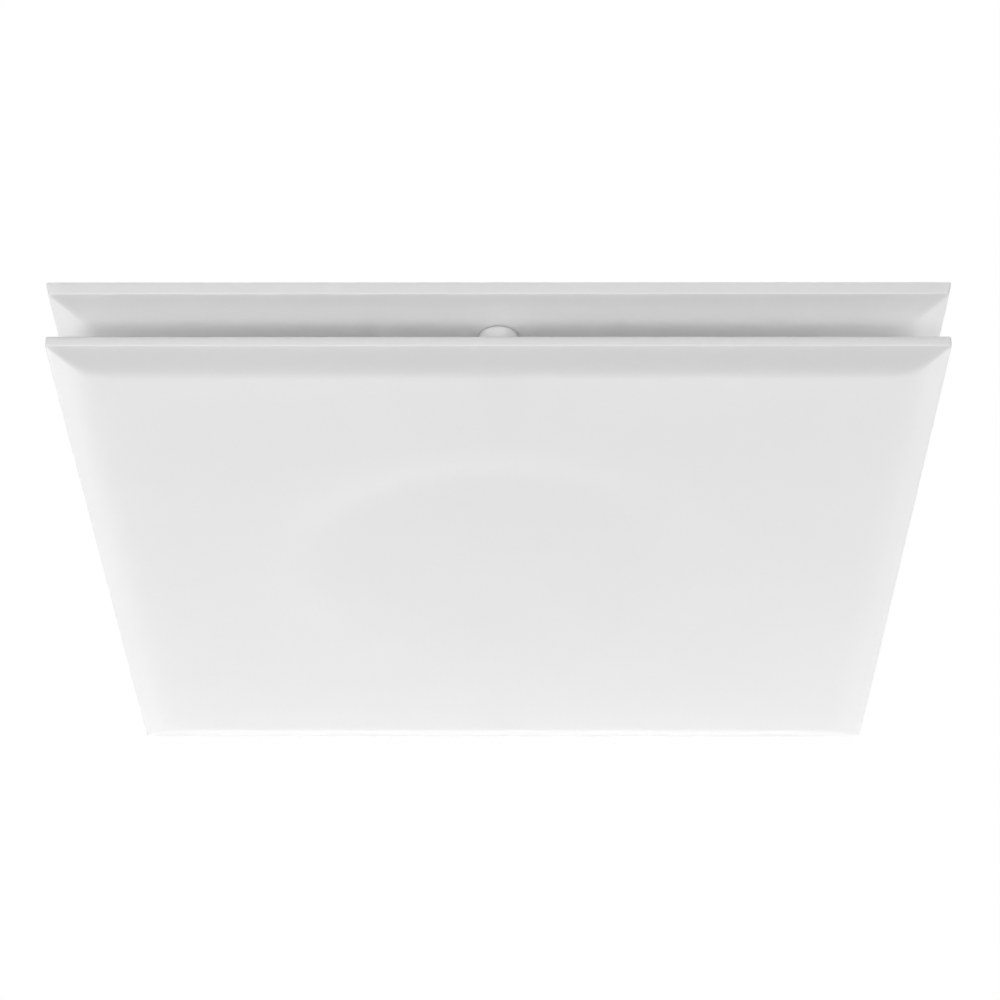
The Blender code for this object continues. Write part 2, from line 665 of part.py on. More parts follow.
def spindle_clip(body):
    """Open spring clip in the spindle's groove."""
    middle = BAR_TOP + SPINDLE_GROOVE + SPINDLE_GROOVE_HEIGHT / 2
    top = middle + WASHER_THICKNESS / 2
    bottom = middle - WASHER_THICKNESS / 2
    clip = turned("spindle_clip", [(CLIP_RADIUS, top), (CLIP_RADIUS, bottom), (CLIP_INSIDE, bottom),
                                   (CLIP_INSIDE, top)], POST_STEPS, closed=True)
    cut(clip, box("clip_mouth", (0.0, -CLIP_MOUTH_HALF, 0.0),
                  (2 * CLIP_RADIUS, CLIP_MOUTH_HALF, CUT_HIGH)))
    finished(clip, "spring_steel", body)


def damper_disc(body):
    """Disc with a turned-down edge, a hole for its nut and one for each guide rod."""
    bottom = DISC_TOP - DISC_THICKNESS
    edge = DISC_RADIUS - DISC_EDGE
    edge_bottom = bottom - DISC_EDGE
    disc = turned("damper_disc", [
        (DISC_RADIUS, DISC_TOP), (DISC_RADIUS, edge_bottom), (edge, edge_bottom), (edge, bottom),
        (DISC_HOLE, bottom), (DISC_HOLE, DISC_TOP)], RING_STEPS, closed=True)
    for angle in (0, 180):
        cut(disc, placed(cylinder("rod_way", GUIDE_ROD_RADIUS + ROD_WAY, CUT_LOW, 0.0, FIT_STEPS),
                         around(angle, GUIDE_ROD_X)))
    finished(disc, "white_abs", body)


def disc_nut(body):
    """Threaded hub that snaps into the disc from below."""
    bottom = DISC_TOP - DISC_THICKNESS - GAP
    bore = SPINDLE_RADIUS + GAP
    top = DISC_TOP + NUT_TOP
    flange_bottom = bottom - NUT_FLANGE_THICKNESS
    nut = turned("disc_nut", [
        (NUT_TOP_RADIUS, top), (NUT_BARB_RADIUS, DISC_TOP + NUT_BARB_HEIGHT),
        (NUT_HUB_RADIUS, DISC_TOP + GAP), (NUT_HUB_RADIUS, bottom), (NUT_FLANGE_RADIUS, bottom),
        (NUT_FLANGE_RADIUS, flange_bottom), (bore, flange_bottom), (bore, top)],
        POST_STEPS, closed=True)
    finished(nut, "nylon", body)


def damper_seal(body):
    """Soft ring round the disc's edge, which closes the throat."""
    inside = DISC_RADIUS + GAP
    lip = [(DAMPER_SEAL_RADIUS, DISC_TOP - depth) for depth in DAMPER_SEAL_LIP]
    seal = turned("damper_seal", [(inside, DISC_TOP - GAP), *lip,
                                  (inside, DISC_TOP - DAMPER_SEAL_DEPTH)], RING_STEPS, closed=True)
    finished(seal, "black_rubber", body)


def face_panel(body):
    """The lower tray, with a stub for each post and low stiffening ribs on its floor."""
    panel = tray("face_panel", PANEL_SIZE, PANEL_TOP, PANEL_RIM)
    base = PANEL_FLOOR - ROOT
    for angle in (0, 90, 180, 270):
        stub = cylinder(f"post_stub_{angle}", STUB_RADIUS, base, PANEL_FLOOR + STUB_HEIGHT, POST_STEPS)
        cut(stub, cylinder(f"stub_pilot_{angle}", STUB_PILOT, PANEL_FLOOR + GAP, 0.0))
        add(panel, placed(applied(stub), around(angle, POST_OFFSET)))
        rib = box(f"panel_rib_{angle}", (PANEL_RIB_START, -RIB_HALF, base),
                  (PANEL_RIB_END, RIB_HALF, PANEL_FLOOR + PANEL_RIB_HEIGHT))
        add(panel, placed(rib, around(angle + 45)))
    finished(panel, "white_abs", body)


def spacer_posts(body, places):
    """Round pillar: a bore below for the stub, a web for its screw, and a magnet pocket on top."""
    bottom = PANEL_FLOOR + GAP
    web_bottom = PANEL_FLOOR + STUB_HEIGHT + GAP
    web_top = web_bottom + WEB_THICKNESS
    seat = web_top + SCREW_ROOM_HEIGHT
    post = turned("spacer_post", [
        (POST_RADIUS - POST_EDGE, POST_TOP), (POST_RADIUS, POST_TOP - POST_EDGE),
        (POST_RADIUS, bottom), (STUB_BORE, bottom), (STUB_BORE, web_bottom), (WEB_HOLE, web_bottom),
        (WEB_HOLE, web_top), (SCREW_ROOM, web_top), (SCREW_ROOM, seat), (MAGNET_POCKET, seat),
        (MAGNET_POCKET, POST_TOP)], POST_STEPS, closed=True)
    repeated(post, "spacer_post", places, "white_abs", [body] * 4)
    screw = pan_head_screw("post_screw", POST_SCREW_SHANK, PANEL_FLOOR + POST_SCREW_SHANK,
                           web_top + GAP, *POST_SCREW_HEAD)
    repeated(screw, "post_screw", places, "zinc_steel", [body] * 4)
    low = seat + GAP
    top = POST_TOP - GAP / 3
    magnet = turned("magnet", [
        (0, top), (MAGNET_RADIUS - MAGNET_EDGE, top), (MAGNET_RADIUS, top - MAGNET_EDGE),
        (MAGNET_RADIUS, low), (0, low)], FIT_STEPS)
    repeated(magnet, "magnet", places, "nickel", [body] * 4)


def keepers(places):
    """Countersunk steel discs in the frame, which the magnets hold on to, and their screws."""
    bottom = FRAME_UNDERSIDE + KEEPER_RECESS
    top = bottom + KEEPER_THICKNESS
    wide, narrow = COUNTERSINK
    keeper = turned("keeper_plate", [
        (KEEPER_RADIUS, top), (KEEPER_RADIUS, bottom), (wide, bottom), (narrow, top)],
        FIT_STEPS, closed=True)
    repeated(keeper, "keeper_plate", places, "zinc_steel")
    head = bottom + GAP / 3
    screw = turned("keeper_screw", [
        (0, KEEPER_SCREW_TIP), (KEEPER_SCREW_SHANK, KEEPER_SCREW_SHOULDER), (KEEPER_SCREW_SHANK, top),
        (KEEPER_SCREW_HEAD, head), (0, head)], SCREW_STEPS)
    reach, half, depth = KEEPER_SLOT
    for angle in (0, 90):
        slot = box("keeper_slot", (-reach, -half, bottom - OVERSHOOT), (reach, half, bottom + depth))
        cut(screw, placed(slot, around(angle)))
    repeated(screw, "keeper_screw", places, "zinc_steel")


def clamps(places):
    """Four clamps: screw with its clip, threaded insert on it, and a dog that swings out."""
    screws = [empty(f"clamp_screw_axis_{n}", place) for n, place in enumerate(places, 1)]
    nuts = [empty(f"clamp_nut_axis_{n}", place) for n, place in enumerate(places, 1)]
    dogs = [empty(f"clamp_dog_axis_{n}", Matrix()) for n in range(1, 5)]
    for dog, nut in zip(dogs, nuts):
        dog.parent = nut
    here = [Matrix()] * 4
    radius = CLAMP_SCREW_RADIUS
    seat = FRAME_UNDERSIDE + CLAMP_RECESS_DEPTH - GAP
    head = FRAME_UNDERSIDE + GAP
    tip = TOWER_TOP - CLAMP_SCREW_SHORT
    screw = turned("clamp_screw", [
        (0, tip), (radius * HEAD_FLAT, tip), (radius, TOWER_TOP - CLAMP_SCREW_TAPER), (radius, seat),
        (CLAMP_HEAD_RADIUS, seat), (CLAMP_HEAD_RADIUS, head + CLAMP_HEAD_EDGE),
        (CLAMP_HEAD_FLAT, head), (0, head)], FIT_STEPS)
    reach, half, depth = CLAMP_SLOT
    for angle in (0, 90):
        slot = box("clamp_slot", (-reach, -half, head - OVERSHOOT), (reach, half, head + depth))
        cut(screw, placed(slot, around(angle)))
    repeated(screw, "clamp_screw", here, "zinc_steel", screws)
    bore = radius + GAP
    clip = turned("clamp_clip", [
        (CLAMP_CLIP_RADIUS, CLAMP_CLIP_TOP), (CLAMP_CLIP_RADIUS, CLAMP_CLIP_BOTTOM),
        (bore, CLAMP_CLIP_BOTTOM), (bore, CLAMP_CLIP_TOP)], FIT_STEPS, closed=True)
    repeated(clip, "clamp_clip", here, "spring_steel", screws)
    top = DOG_TOP + CLAMP_NUT_FLANGE_TOP
    flange_bottom = DOG_TOP + GAP
    lip_top = DOG_BOTTOM - GAP
    bottom = DOG_BOTTOM - CLAMP_NUT_LIP_BOTTOM
    wide_lip, narrow_lip = CLAMP_NUT_LIP
    nut = turned("clamp_nut", [
        (CLAMP_NUT_FLANGE, top), (CLAMP_NUT_FLANGE, flange_bottom), (CLAMP_NUT_RADIUS, flange_bottom),
        (CLAMP_NUT_RADIUS, lip_top), (wide_lip, lip_top), (narrow_lip, bottom), (bore, bottom),
        (bore, top)], FIT_STEPS, closed=True)
    repeated(nut, "clamp_nut", here, "brass", nuts)
    dog = cylinder("clamp_dog", DOG_RADIUS, DOG_BOTTOM, DOG_TOP, FIT_STEPS)
    add(dog,
        box("dog_arm", (-ARM_HALF, -DOG_LENGTH, DOG_BOTTOM + ARM_RAISED),
            (ARM_HALF, 0, DOG_TOP - ARM_LOWERED)),
        box("dog_tooth", (-TOOTH_HALF, -DOG_LENGTH + TOOTH_INSET, DOG_BOTTOM - TOOTH_DEPTH),
            (TOOTH_HALF, -DOG_LENGTH + TOOTH_WIDTH, DOG_TOP - TOOTH_LOWERED)))
    cut(dog, cylinder("dog_bore", DOG_BORE, 0.0, 2 * DOG_TOP, FIT_STEPS))
    repeated(dog, "clamp_dog", here, "white_abs", dogs)


def main():
    sides = [around(angle, POST_OFFSET) for angle in (270, 0, 90, 180)]
    corners = [around(angle, CLAMP_CIRCLE) for angle in (315, 45, 135, 225)]
    ceiling_frame()
    ceiling_seal()
    duct_spigot()
    neck_gasket()
    spigot_seal()
    spigot_screws()
    cross_bar()
    bar_screws()
    guide_rods()
    spindle_bush()
    keepers(sides)
    spindle = empty("lead_screw_axis", Matrix())
    lead_screw(spindle)
    thrust_washer(spindle)
    spindle_clip(spindle)
    damper = empty("damper_axis", Matrix())
    damper_disc(damper)
    disc_nut(damper)
    damper_seal(damper)
    panel = empty("face_panel_axis", Matrix())
    face_panel(panel)
    spacer_posts(panel, sides)
    clamps(corners)


main()
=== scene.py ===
"""The looks of the ceiling air diffuser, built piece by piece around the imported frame, in metres.

Every round, square or folded piece is a skin over rings of points, worked out from a short profile.
A profile's points are (radius, height) or (radius, height, fillet), and fillets become arcs.
"""

import json
import math

import bmesh
import bpy
from mathutils import Matrix, Vector


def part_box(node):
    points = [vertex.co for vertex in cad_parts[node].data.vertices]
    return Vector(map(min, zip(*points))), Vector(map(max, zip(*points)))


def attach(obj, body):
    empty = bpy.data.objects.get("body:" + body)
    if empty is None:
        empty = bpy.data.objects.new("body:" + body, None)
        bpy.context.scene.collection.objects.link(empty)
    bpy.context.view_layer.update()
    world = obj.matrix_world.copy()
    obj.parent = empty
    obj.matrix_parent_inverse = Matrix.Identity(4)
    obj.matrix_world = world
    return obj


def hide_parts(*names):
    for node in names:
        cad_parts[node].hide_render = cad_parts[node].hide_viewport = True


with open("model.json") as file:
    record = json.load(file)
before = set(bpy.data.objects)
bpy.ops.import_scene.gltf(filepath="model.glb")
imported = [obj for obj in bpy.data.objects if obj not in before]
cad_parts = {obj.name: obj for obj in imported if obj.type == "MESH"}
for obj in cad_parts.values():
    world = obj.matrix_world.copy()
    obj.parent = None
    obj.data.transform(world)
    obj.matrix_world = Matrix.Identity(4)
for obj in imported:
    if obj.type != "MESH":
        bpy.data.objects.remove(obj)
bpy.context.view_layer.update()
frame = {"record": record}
RECORD = frame["record"]
BODY_OF = {node: body for body, nodes in RECORD["behaviour"]["bodies"].items() for node in nodes}
SLOT_OF = {part["node"]: part["material_slot"] for part in RECORD["subparts"]}

MM = 0.001
FILLET_STEPS = 5
FINE_STEPS = 128                # points round the neck, the spigot and the disc
ROUND_STEPS = 64                # posts, magnets, bushes
SMALL_STEPS = 40                # screws and rods
SHARP_ANGLE = math.radians(32)
SAME_POINT = 0.0005 * MM        # points closer than this become one

# The two trays, measured inward from their edges and down from their rims
WALL = 2.5 * MM
CHAMFER_SLOPE = 0.34
PANEL_DRAFT = 0.05 * MM         # how far a rim's lower corner lies inside its top
FRAME_DRAFT = 0.9 * MM
CHAMFER_STRAIGHT = 5.6 * MM
CHAMFER_BLEND = 9.6 * MM
CHAMFER_WIDTH = CHAMFER_STRAIGHT + CHAMFER_BLEND
CHAMFER_DROP = CHAMFER_SLOPE * (CHAMFER_STRAIGHT + CHAMFER_BLEND / 2)
CHAMFER_STEPS = 18
PANEL_RIM = 3.7 * MM
FRAME_RIM = 4.2 * MM
RIM_ROUNDING = 0.6 * MM         # between a rim and the chamfer below it
FENCE_INSET = 10.6 * MM         # of the frame's fence inside the ceiling seal
CORNER_RADIUS = 0.8 * MM
CORNER_GROWTH = 0.17            # of a ring's corner radius, with its inset
CORNER_STEPS = 4                # steps of each rounded corner of a square ring
SIDE_STEPS = 28                 # steps along each side of a square ring

# Distances from the diffuser's centre
NECK_RADIUS = 72.5 * MM         # inside of the frame's neck
SPIGOT_SCREWS_OUT = 82.5 * MM
CLAMPS_OUT = 106 * MM
BAR_SCREWS_OUT = 65 * MM
GUIDE_RODS_OUT = 30 * MM
QUARTERS = (0, 90, 180, 270)
HALVES = (0, 180)

# Sizes that several pieces share
POST_RADIUS = 6.65 * MM
POST_SCREW_HEAD = 1.6 * MM
BAR_SHEET = 2.0 * MM            # floor of the cross bar's channel
DISC_SHEET = 2.0 * MM
RIB_HALF = 0.9 * MM             # half the thickness of the trays' ribs
GAP = 0.3 * MM                  # left between pieces that fit together
OVERLAP = 1 * MM                # how far a helper runs into or past the piece it works on

TINY = 1e-7                     # lengths below this are zero but for rounding
FILLET_SHARE = 0.48             # of a profile's side, the most that one fillet takes
SOFTENED_ANGLE = math.radians(40)
SPARE_TURNS = 2                 # of a thread at each end, before it is trimmed
FLARE_STEPS = 14                # of the bell mouth's curve

FLOOR_HEIGHT = -1.6
FLOOR_GLOW = 0.55
CAMERA_PLACE = (0.0079, -0.9414, -0.5429)
CAMERA_AIM = (-0.00038, 0.0, 0.00355)
CAMERA_ROLL = math.radians(0.26)
CAMERA_LENS = 102.92


# ------------------------ camera, floor and light

def look_at(obj, place, aim):
    obj.location = place
    obj.rotation_euler = (Vector(aim) - Vector(place)).to_track_quat("-Z", "Y").to_euler()


def add_camera():
    data = bpy.data.cameras.new("camera")
    data.lens = CAMERA_LENS
    data.sensor_width = 36
    data.clip_start = 0.05
    data.clip_end = 60
    camera = bpy.data.objects.new("camera", data)
    bpy.context.scene.collection.objects.link(camera)
    look_at(camera, CAMERA_PLACE, CAMERA_AIM)
    camera.rotation_euler.rotate_axis("Z", CAMERA_ROLL)
    bpy.context.scene.camera = camera


def add_softbox(name, place, width, height, power):
    data = bpy.data.lights.new(name, "AREA")
    data.shape = "RECTANGLE"
    data.size = width
    data.size_y = height
    data.energy = power
    light = bpy.data.objects.new(name, data)
    bpy.context.scene.collection.objects.link(light)
    look_at(light, place, (0, 0, 0))
    light.visible_camera = False


# Name, place, width, height and power of each softbox. All of them face the diffuser.
SOFTBOXES = [
    ("front_low", (-0.35, -1.5, -0.95), 1.4, 1.0, 17.2),
    ("back_low", (0.0, 1.7, -0.9), 1.8, 1.2, 17.0),
    ("back_left", (-1.3, 1.3, -0.7), 1.0, 1.0, 11.0),
    ("back_right", (1.3, 1.3, -0.7), 1.0, 1.0, 11.2),
    ("back_level", (0.0, 2.2, -0.12), 1.8, 0.4, 1.6),
    ("overhead", (0.4, 0.3, 1.6), 1.8, 1.8, 20.0),
]
SKY_STRENGTH = 0.05
HORIZON_STRENGTH = 2.2
GROUND_STRENGTH = 0.06
BAND_TOP = (-0.02, 0.02)        # heights of a direction between which the light changes over
BAND_BOTTOM = (-0.22, -0.19)


def add_lights():
    for softbox in SOFTBOXES:
        add_softbox(*softbox)


def add_world():
    """White behind the diffuser, a band of light at the horizon and little light from elsewhere."""
    world = bpy.data.worlds.new("studio")
    world.use_nodes = True
    tree = world.node_tree
    tree.nodes.clear()

    def background(strength):
        node = tree.nodes.new("ShaderNodeBackground")
        node.inputs["Color"].default_value = (1, 1, 1, 1)
        node.inputs["Strength"].default_value = strength
        return node.outputs[0]

    def mixed(factor, first, second):
        node = tree.nodes.new("ShaderNodeMixShader")
        tree.links.new(factor, node.inputs["Fac"])
        tree.links.new(first, node.inputs[1])
        tree.links.new(second, node.inputs[2])
        return node.outputs[0]

    direction = tree.nodes.new("ShaderNodeSeparateXYZ")
    place = tree.nodes.new("ShaderNodeTexCoord")
    tree.links.new(place.outputs["Generated"], direction.inputs[0])

    def from_to(start, end):
        """0 to 1 as the direction's height goes from start to end."""
        node = tree.nodes.new("ShaderNodeMapRange")
        node.inputs["From Min"].default_value = start
        node.inputs["From Max"].default_value = end
        tree.links.new(direction.outputs["Z"], node.inputs["Value"])
        return node.outputs["Result"]

    low = mixed(from_to(*BAND_BOTTOM), background(GROUND_STRENGTH), background(HORIZON_STRENGTH))
    lighting = mixed(from_to(*BAND_TOP), low, background(SKY_STRENGTH))
    path = tree.nodes.new("ShaderNodeLightPath")
    output = tree.nodes.new("ShaderNodeOutputWorld")
    tree.links.new(mixed(path.outputs["Is Camera Ray"], lighting, background(1.0)),
                   output.inputs["Surface"])
    bpy.context.scene.world = world
    bpy.context.scene.view_settings.view_transform = "Standard"


# ------------------------ materials

class Look:
    """A Principled material and the nodes that vary its colour, roughness and surface."""

    def __init__(self, name, roughness, metallic=0.0):
        self.material = bpy.data.materials.new(name)
        self.material.use_nodes = True
        self.tree = self.material.node_tree
        self.shader = self.tree.nodes["Principled BSDF"]
        self.shader.inputs["Roughness"].default_value = roughness
        self.shader.inputs["Metallic"].default_value = metallic
        self.place = self.node("ShaderNodeTexCoord").outputs["Object"]

    def node(self, kind, **values):
        node = self.tree.nodes.new(kind)
        for key, value in values.items():
            setattr(node, key, value)
        return node

    def stretched(self, scale):
        mapping = self.node("ShaderNodeMapping")
        mapping.inputs["Scale"].default_value = scale
        self.tree.links.new(self.place, mapping.inputs["Vector"])
        return mapping.outputs["Vector"]

    def noise(self, size, detail=2.0, roughness=0.5, vector=None):
        """Noise whose features are about this size, in metres."""
        node = self.node("ShaderNodeTexNoise")
        node.inputs["Scale"].default_value = 1 / size
        node.inputs["Detail"].default_value = detail
        node.inputs["Roughness"].default_value = roughness
        self.tree.links.new(vector or self.place, node.inputs["Vector"])
        return node.outputs["Fac"]

    def cells(self, size):
        """The distance to the nearest of scattered points, as a share of this size."""
        node = self.node("ShaderNodeTexVoronoi")
        node.inputs["Scale"].default_value = 1 / size
        self.tree.links.new(self.place, node.inputs["Vector"])
        return node.outputs["Distance"]

    def remap(self, value, low, high, out_low=0.0, out_high=1.0):
        node = self.node("ShaderNodeMapRange", clamp=True)
        for name, number in (("From Min", low), ("From Max", high),
                             ("To Min", out_low), ("To Max", out_high)):
            node.inputs[name].default_value = number
        self.tree.links.new(value, node.inputs["Value"])
        return node.outputs["Result"]

    def spread(self, noise, out_low=0.0, out_high=1.0):
        """Noise, which mostly lies between 0.3 and 0.7, spread between two other numbers."""
        return self.remap(noise, 0.3, 0.7, out_low, out_high)

    def product(self, first, second):
        node = self.node("ShaderNodeMath", operation="MULTIPLY")
        self.tree.links.new(first, node.inputs[0])
        self.tree.links.new(second, node.inputs[1])
        return node.outputs[0]

    def between(self, factor, first, second):
        """A colour between two, by a factor that varies over the surface."""
        node = self.node("ShaderNodeMix", data_type="RGBA")
        self.tree.links.new(factor, node.inputs[0])
        for socket, colour in ((node.inputs[6], first), (node.inputs[7], second)):
            if hasattr(colour, "is_linked"):
                self.tree.links.new(colour, socket)
            else:
                socket.default_value = (*colour, 1)
        return node.outputs[2]

    def colour(self, source):
        self.tree.links.new(source, self.shader.inputs["Base Color"])

    def roughness(self, source):
        self.tree.links.new(source, self.shader.inputs["Roughness"])

    def scatters(self, weight, radius, scale):
        """Lets a share of the light in, to come out about scale away, in metres."""
        for name, value in (("Weight", weight), ("Radius", radius), ("Scale", scale)):
            self.shader.inputs["Subsurface " + name].default_value = value

    def bump(self, height, depth, strength=1.0):
        """Adds a relief of this depth, in metres, on top of any earlier one."""
        node = self.node("ShaderNodeBump")
        node.inputs["Distance"].default_value = depth
        node.inputs["Strength"].default_value = strength
        self.tree.links.new(height, node.inputs["Height"])
        normal = self.shader.inputs["Normal"]
        if normal.is_linked:
            self.tree.links.new(normal.links[0].from_socket, node.inputs["Normal"])
        self.tree.links.new(node.outputs[0], normal)


def moulded_white(name):
    """White ABS with the fine texture of its mould, faint unevenness and a rare dark speck."""
    look = Look(name, 0.5)
    tone = look.spread(look.noise(60 * MM, 3))
    plain = look.between(tone, (0.895, 0.895, 0.896), (0.907, 0.907, 0.906))
    apart, speck = 9 * MM, 0.05 * MM
    specks = look.remap(look.cells(apart), speck / apart, 2 * speck / apart, 1, 0)
    chosen = look.remap(look.noise(31 * MM, 0), 0.66, 0.68)
    look.colour(look.between(look.product(specks, chosen), plain, (0.45, 0.43, 0.40)))
    look.roughness(look.spread(look.noise(1.1 * MM, 3), 0.38, 0.48))
    look.bump(look.noise(0.9 * MM, 2), 0.02 * MM, 0.5)
    look.bump(look.noise(12 * MM, 1), 0.05 * MM, 0.35)
    look.scatters(1.0, (1.0, 1.0, 1.0), 3 * MM)
    return look.material


def zinc_plate(name, drawn=(1, 1, 1)):
    """Bright zinc on steel, with faint clouds and fine drawing lines along one direction."""
    look = Look(name, 0.34, 1.0)
    cloud = look.spread(look.noise(5 * MM, 3))
    look.colour(look.between(cloud, (0.56, 0.57, 0.59), (0.68, 0.69, 0.70)))
    lines = look.noise(0.5 * MM, 3, 0.6, look.stretched(drawn))
    look.roughness(look.spread(lines, 0.26, 0.42))
    look.bump(lines, 0.01 * MM, 0.6)
    return look.material


def dark_spring(name):
    look = Look(name, 0.4, 1.0)
    cloud = look.spread(look.noise(1.5 * MM, 3))
    look.colour(look.between(cloud, (0.22, 0.225, 0.24), (0.33, 0.33, 0.34)))
    look.roughness(look.remap(cloud, 0, 1, 0.33, 0.48))
    look.bump(look.noise(0.3 * MM, 2), 0.008 * MM)
    return look.material


def turned_brass(name):
    """Brass with the rings that a lathe leaves round its axis."""
    look = Look(name, 0.3, 1.0)
    cloud = look.spread(look.noise(2.5 * MM, 3))
    look.colour(look.between(cloud, (0.68, 0.50, 0.23), (0.78, 0.60, 0.31)))
    rings = look.noise(0.35 * MM, 2, 0.5, look.stretched((0.05, 0.05, 1)))
    look.roughness(look.spread(rings, 0.22, 0.38))
    look.bump(rings, 0.012 * MM, 0.7)
    return look.material


def nickel_plate(name):
    look = Look(name, 0.2, 1.0)
    cloud = look.spread(look.noise(3 * MM, 2))
    look.colour(look.between(cloud, (0.66, 0.645, 0.61), (0.74, 0.73, 0.70)))
    look.roughness(look.spread(look.noise(0.6 * MM, 3), 0.15, 0.27))
    look.bump(look.noise(1.2 * MM, 1), 0.008 * MM, 0.5)
    return look.material


def soft_rubber(name):
    look = Look(name, 0.7)
    bloom = look.remap(look.noise(7 * MM, 4), 0.35, 0.7)
    look.colour(look.between(bloom, (0.022, 0.022, 0.023), (0.045, 0.045, 0.047)))
    look.roughness(look.remap(bloom, 0, 1, 0.6, 0.8))
    look.bump(look.noise(0.4 * MM, 2), 0.015 * MM, 0.8)
    return look.material


def open_foam(name):
    """Grey foam with pores cut open over its surface, their hollows painted near black as painted
    shade.
    """
    look = Look(name, 0.92)
    pore_relief_and_shade = look.remap(look.cells(0.75 * MM), 0.12, 0.42)
    shade = look.between(look.noise(6 * MM, 2), (0.20, 0.20, 0.212), (0.27, 0.27, 0.28))
    # Painted shade: the pores' hollows are coloured near black, darker than the foam's own grey.
    look.colour(look.between(pore_relief_and_shade, (0.06, 0.06, 0.065), shade))
    look.bump(pore_relief_and_shade, 0.12 * MM, 0.9)
    look.shader.inputs["Sheen Weight"].default_value = 0.15
    return look.material


def natural_nylon(name):
    look = Look(name, 0.42)
    tone = look.spread(look.noise(4 * MM, 3))
    look.colour(look.between(tone, (0.78, 0.755, 0.69), (0.83, 0.81, 0.755)))
    look.roughness(look.spread(look.noise(0.7 * MM, 2), 0.36, 0.5))
    look.bump(look.noise(0.5 * MM, 2), 0.012 * MM, 0.6)
    look.scatters(0.08, (1.0, 0.9, 0.7), 1 * MM)
    return look.material


LOOKS = {
    "white_abs": moulded_white("white_abs_moulded"),
    "zinc_steel": zinc_plate("zinc_plated_steel"),
    "spring_steel": dark_spring("dark_spring_steel"),
    "brass": turned_brass("turned_brass"),
    "nickel": nickel_plate("nickel_plate"),
    "black_rubber": soft_rubber("black_rubber_soft"),
    "grey_foam": open_foam("grey_open_foam"),
    "nylon": natural_nylon("natural_nylon"),
}
FOLDED_STEEL = zinc_plate("zinc_folded_sheet", (0.06, 1, 1))


# ------------------------ shapes

def new_object(mesh):
    obj = bpy.data.objects.new("piece", mesh)
    bpy.context.scene.collection.objects.link(obj)
    return obj


def object_from(bm):
    """An object with this bmesh as its mesh. The bmesh is freed."""
    mesh = bpy.data.meshes.new("piece")
    bm.to_mesh(mesh)
    bm.free()
    return new_object(mesh)


def rounded(points, closed=True):
    """The (radius, height) points of a profile, with an arc at each point that has a fillet."""
    out = []
    count = len(points)
    for i, point in enumerate(points):
        here = Vector(point[:2])
        fillet = point[2] if len(point) > 2 else 0
        if not fillet or (not closed and i in (0, count - 1)):
            out.append(here)
            continue
        before = Vector(points[i - 1][:2]) - here
        after = Vector(points[(i + 1) % count][:2]) - here
        half_angle = before.angle(after) / 2
        longest = FILLET_SHARE * min(before.length, after.length)
        reach = min(fillet / math.tan(half_angle), longest)
        centre = here + (before.normalized() + after.normalized()).normalized() * (
            reach / math.cos(half_angle))
        start = here + before.normalized() * reach - centre
        end = here + after.normalized() * reach - centre
        spokes = [start.slerp(end, k / FILLET_STEPS).normalized() for k in range(FILLET_STEPS + 1)]
        out += [centre + spoke * start.length for spoke in spokes]
    return out


def skin(rings, closed):
    """A closed mesh over rings of points. A ring of one point is the tip of a fan.

    Closed rings join the last to the first; otherwise each end is capped.
    """
    bm = bmesh.new()
    made = [[bm.verts.new(point) for point in ring] for ring in rings]
    pairs = list(zip(made, made[1:]))
    if closed:
        pairs.append((made[-1], made[0]))
    for low, high in pairs:
        count = max(len(low), len(high))
        for i in range(count):
            j = (i + 1) % count
            if len(low) == 1:
                bm.faces.new((low[0], high[j], high[i]))
            elif len(high) == 1:
                bm.faces.new((low[i], low[j], high[0]))
            else:
                bm.faces.new((low[i], low[j], high[j], high[i]))
    if not closed:
        for end in (made[0], made[-1]):
            if len(end) > 1:
                bm.faces.new(end)
    bmesh.ops.recalc_face_normals(bm, faces=bm.faces)
    return object_from(bm)


def circle(radius, height, steps, turn=0.0):
    if radius < TINY:
        return [(0.0, 0.0, height)]
    angles = [turn + 2 * math.pi * i / steps for i in range(steps)]
    return [(radius * math.cos(a), radius * math.sin(a), height) for a in angles]


def lathe(profile, steps=ROUND_STEPS, closed=False):
    """A turned piece. An open profile starts and ends on the axis."""
    return skin([circle(r, z, steps) for r, z in rounded(profile, closed)], closed)


def pin(radius, bottom, top, steps=SMALL_STEPS, tip=0.0):
    """A plain cylinder, with a cone of this height below it."""
    return lathe([(0, top), (radius, top), (radius, bottom), (0, bottom - tip)], steps)


def square(half, height, corner=CORNER_RADIUS):
    """A ring of points round a square with rounded corners, counted from its first corner."""
    ring = []
    for quarter in range(4):
        turn = Matrix.Rotation(quarter * math.pi / 2, 2)
        middle = half - corner
        for k in range(CORNER_STEPS + 1):
            angle = math.pi / 2 * k / CORNER_STEPS
            point = (middle + corner * math.cos(angle), middle + corner * math.sin(angle))
            ring.append(turn @ Vector(point))
        for k in range(1, SIDE_STEPS):
            ring.append(turn @ Vector((middle * (1 - 2 * k / SIDE_STEPS), half)))
    return [(x, y, height) for x, y in ring]


def matching_circle(radius, height):
    """A circle with as many points as a square ring has, in line with them."""
    steps = 4 * (CORNER_STEPS + SIDE_STEPS)
    first = math.pi / 4 - math.pi * CORNER_STEPS / steps
    return circle(radius, height, steps, first)


def flat_ring(low, high, outer, inner, fillets):
    """A washer. Its four fillets, in millimetres, start from the outer edge of its top."""
    corners = ((outer, high), (outer, low), (inner, low), (inner, high))
    profile = [(*corner, fillet * MM) for corner, fillet in zip(corners, fillets)]
    return lathe(profile, closed=True)


def block(low, high, bevel=0.0):
    """A box between two opposite corners, with its edges rounded."""
    bm = bmesh.new()
    size = [b - a for a, b in zip(low, high)]
    middle = [(a + b) / 2 for a, b in zip(low, high)]
    bmesh.ops.create_cube(bm, matrix=Matrix.Translation(middle) @ Matrix.Diagonal((*size, 1)))
    if bevel:
        bmesh.ops.bevel(bm, geom=bm.edges[:], offset=bevel, segments=3, profile=0.5, affect="EDGES")
    return object_from(bm)


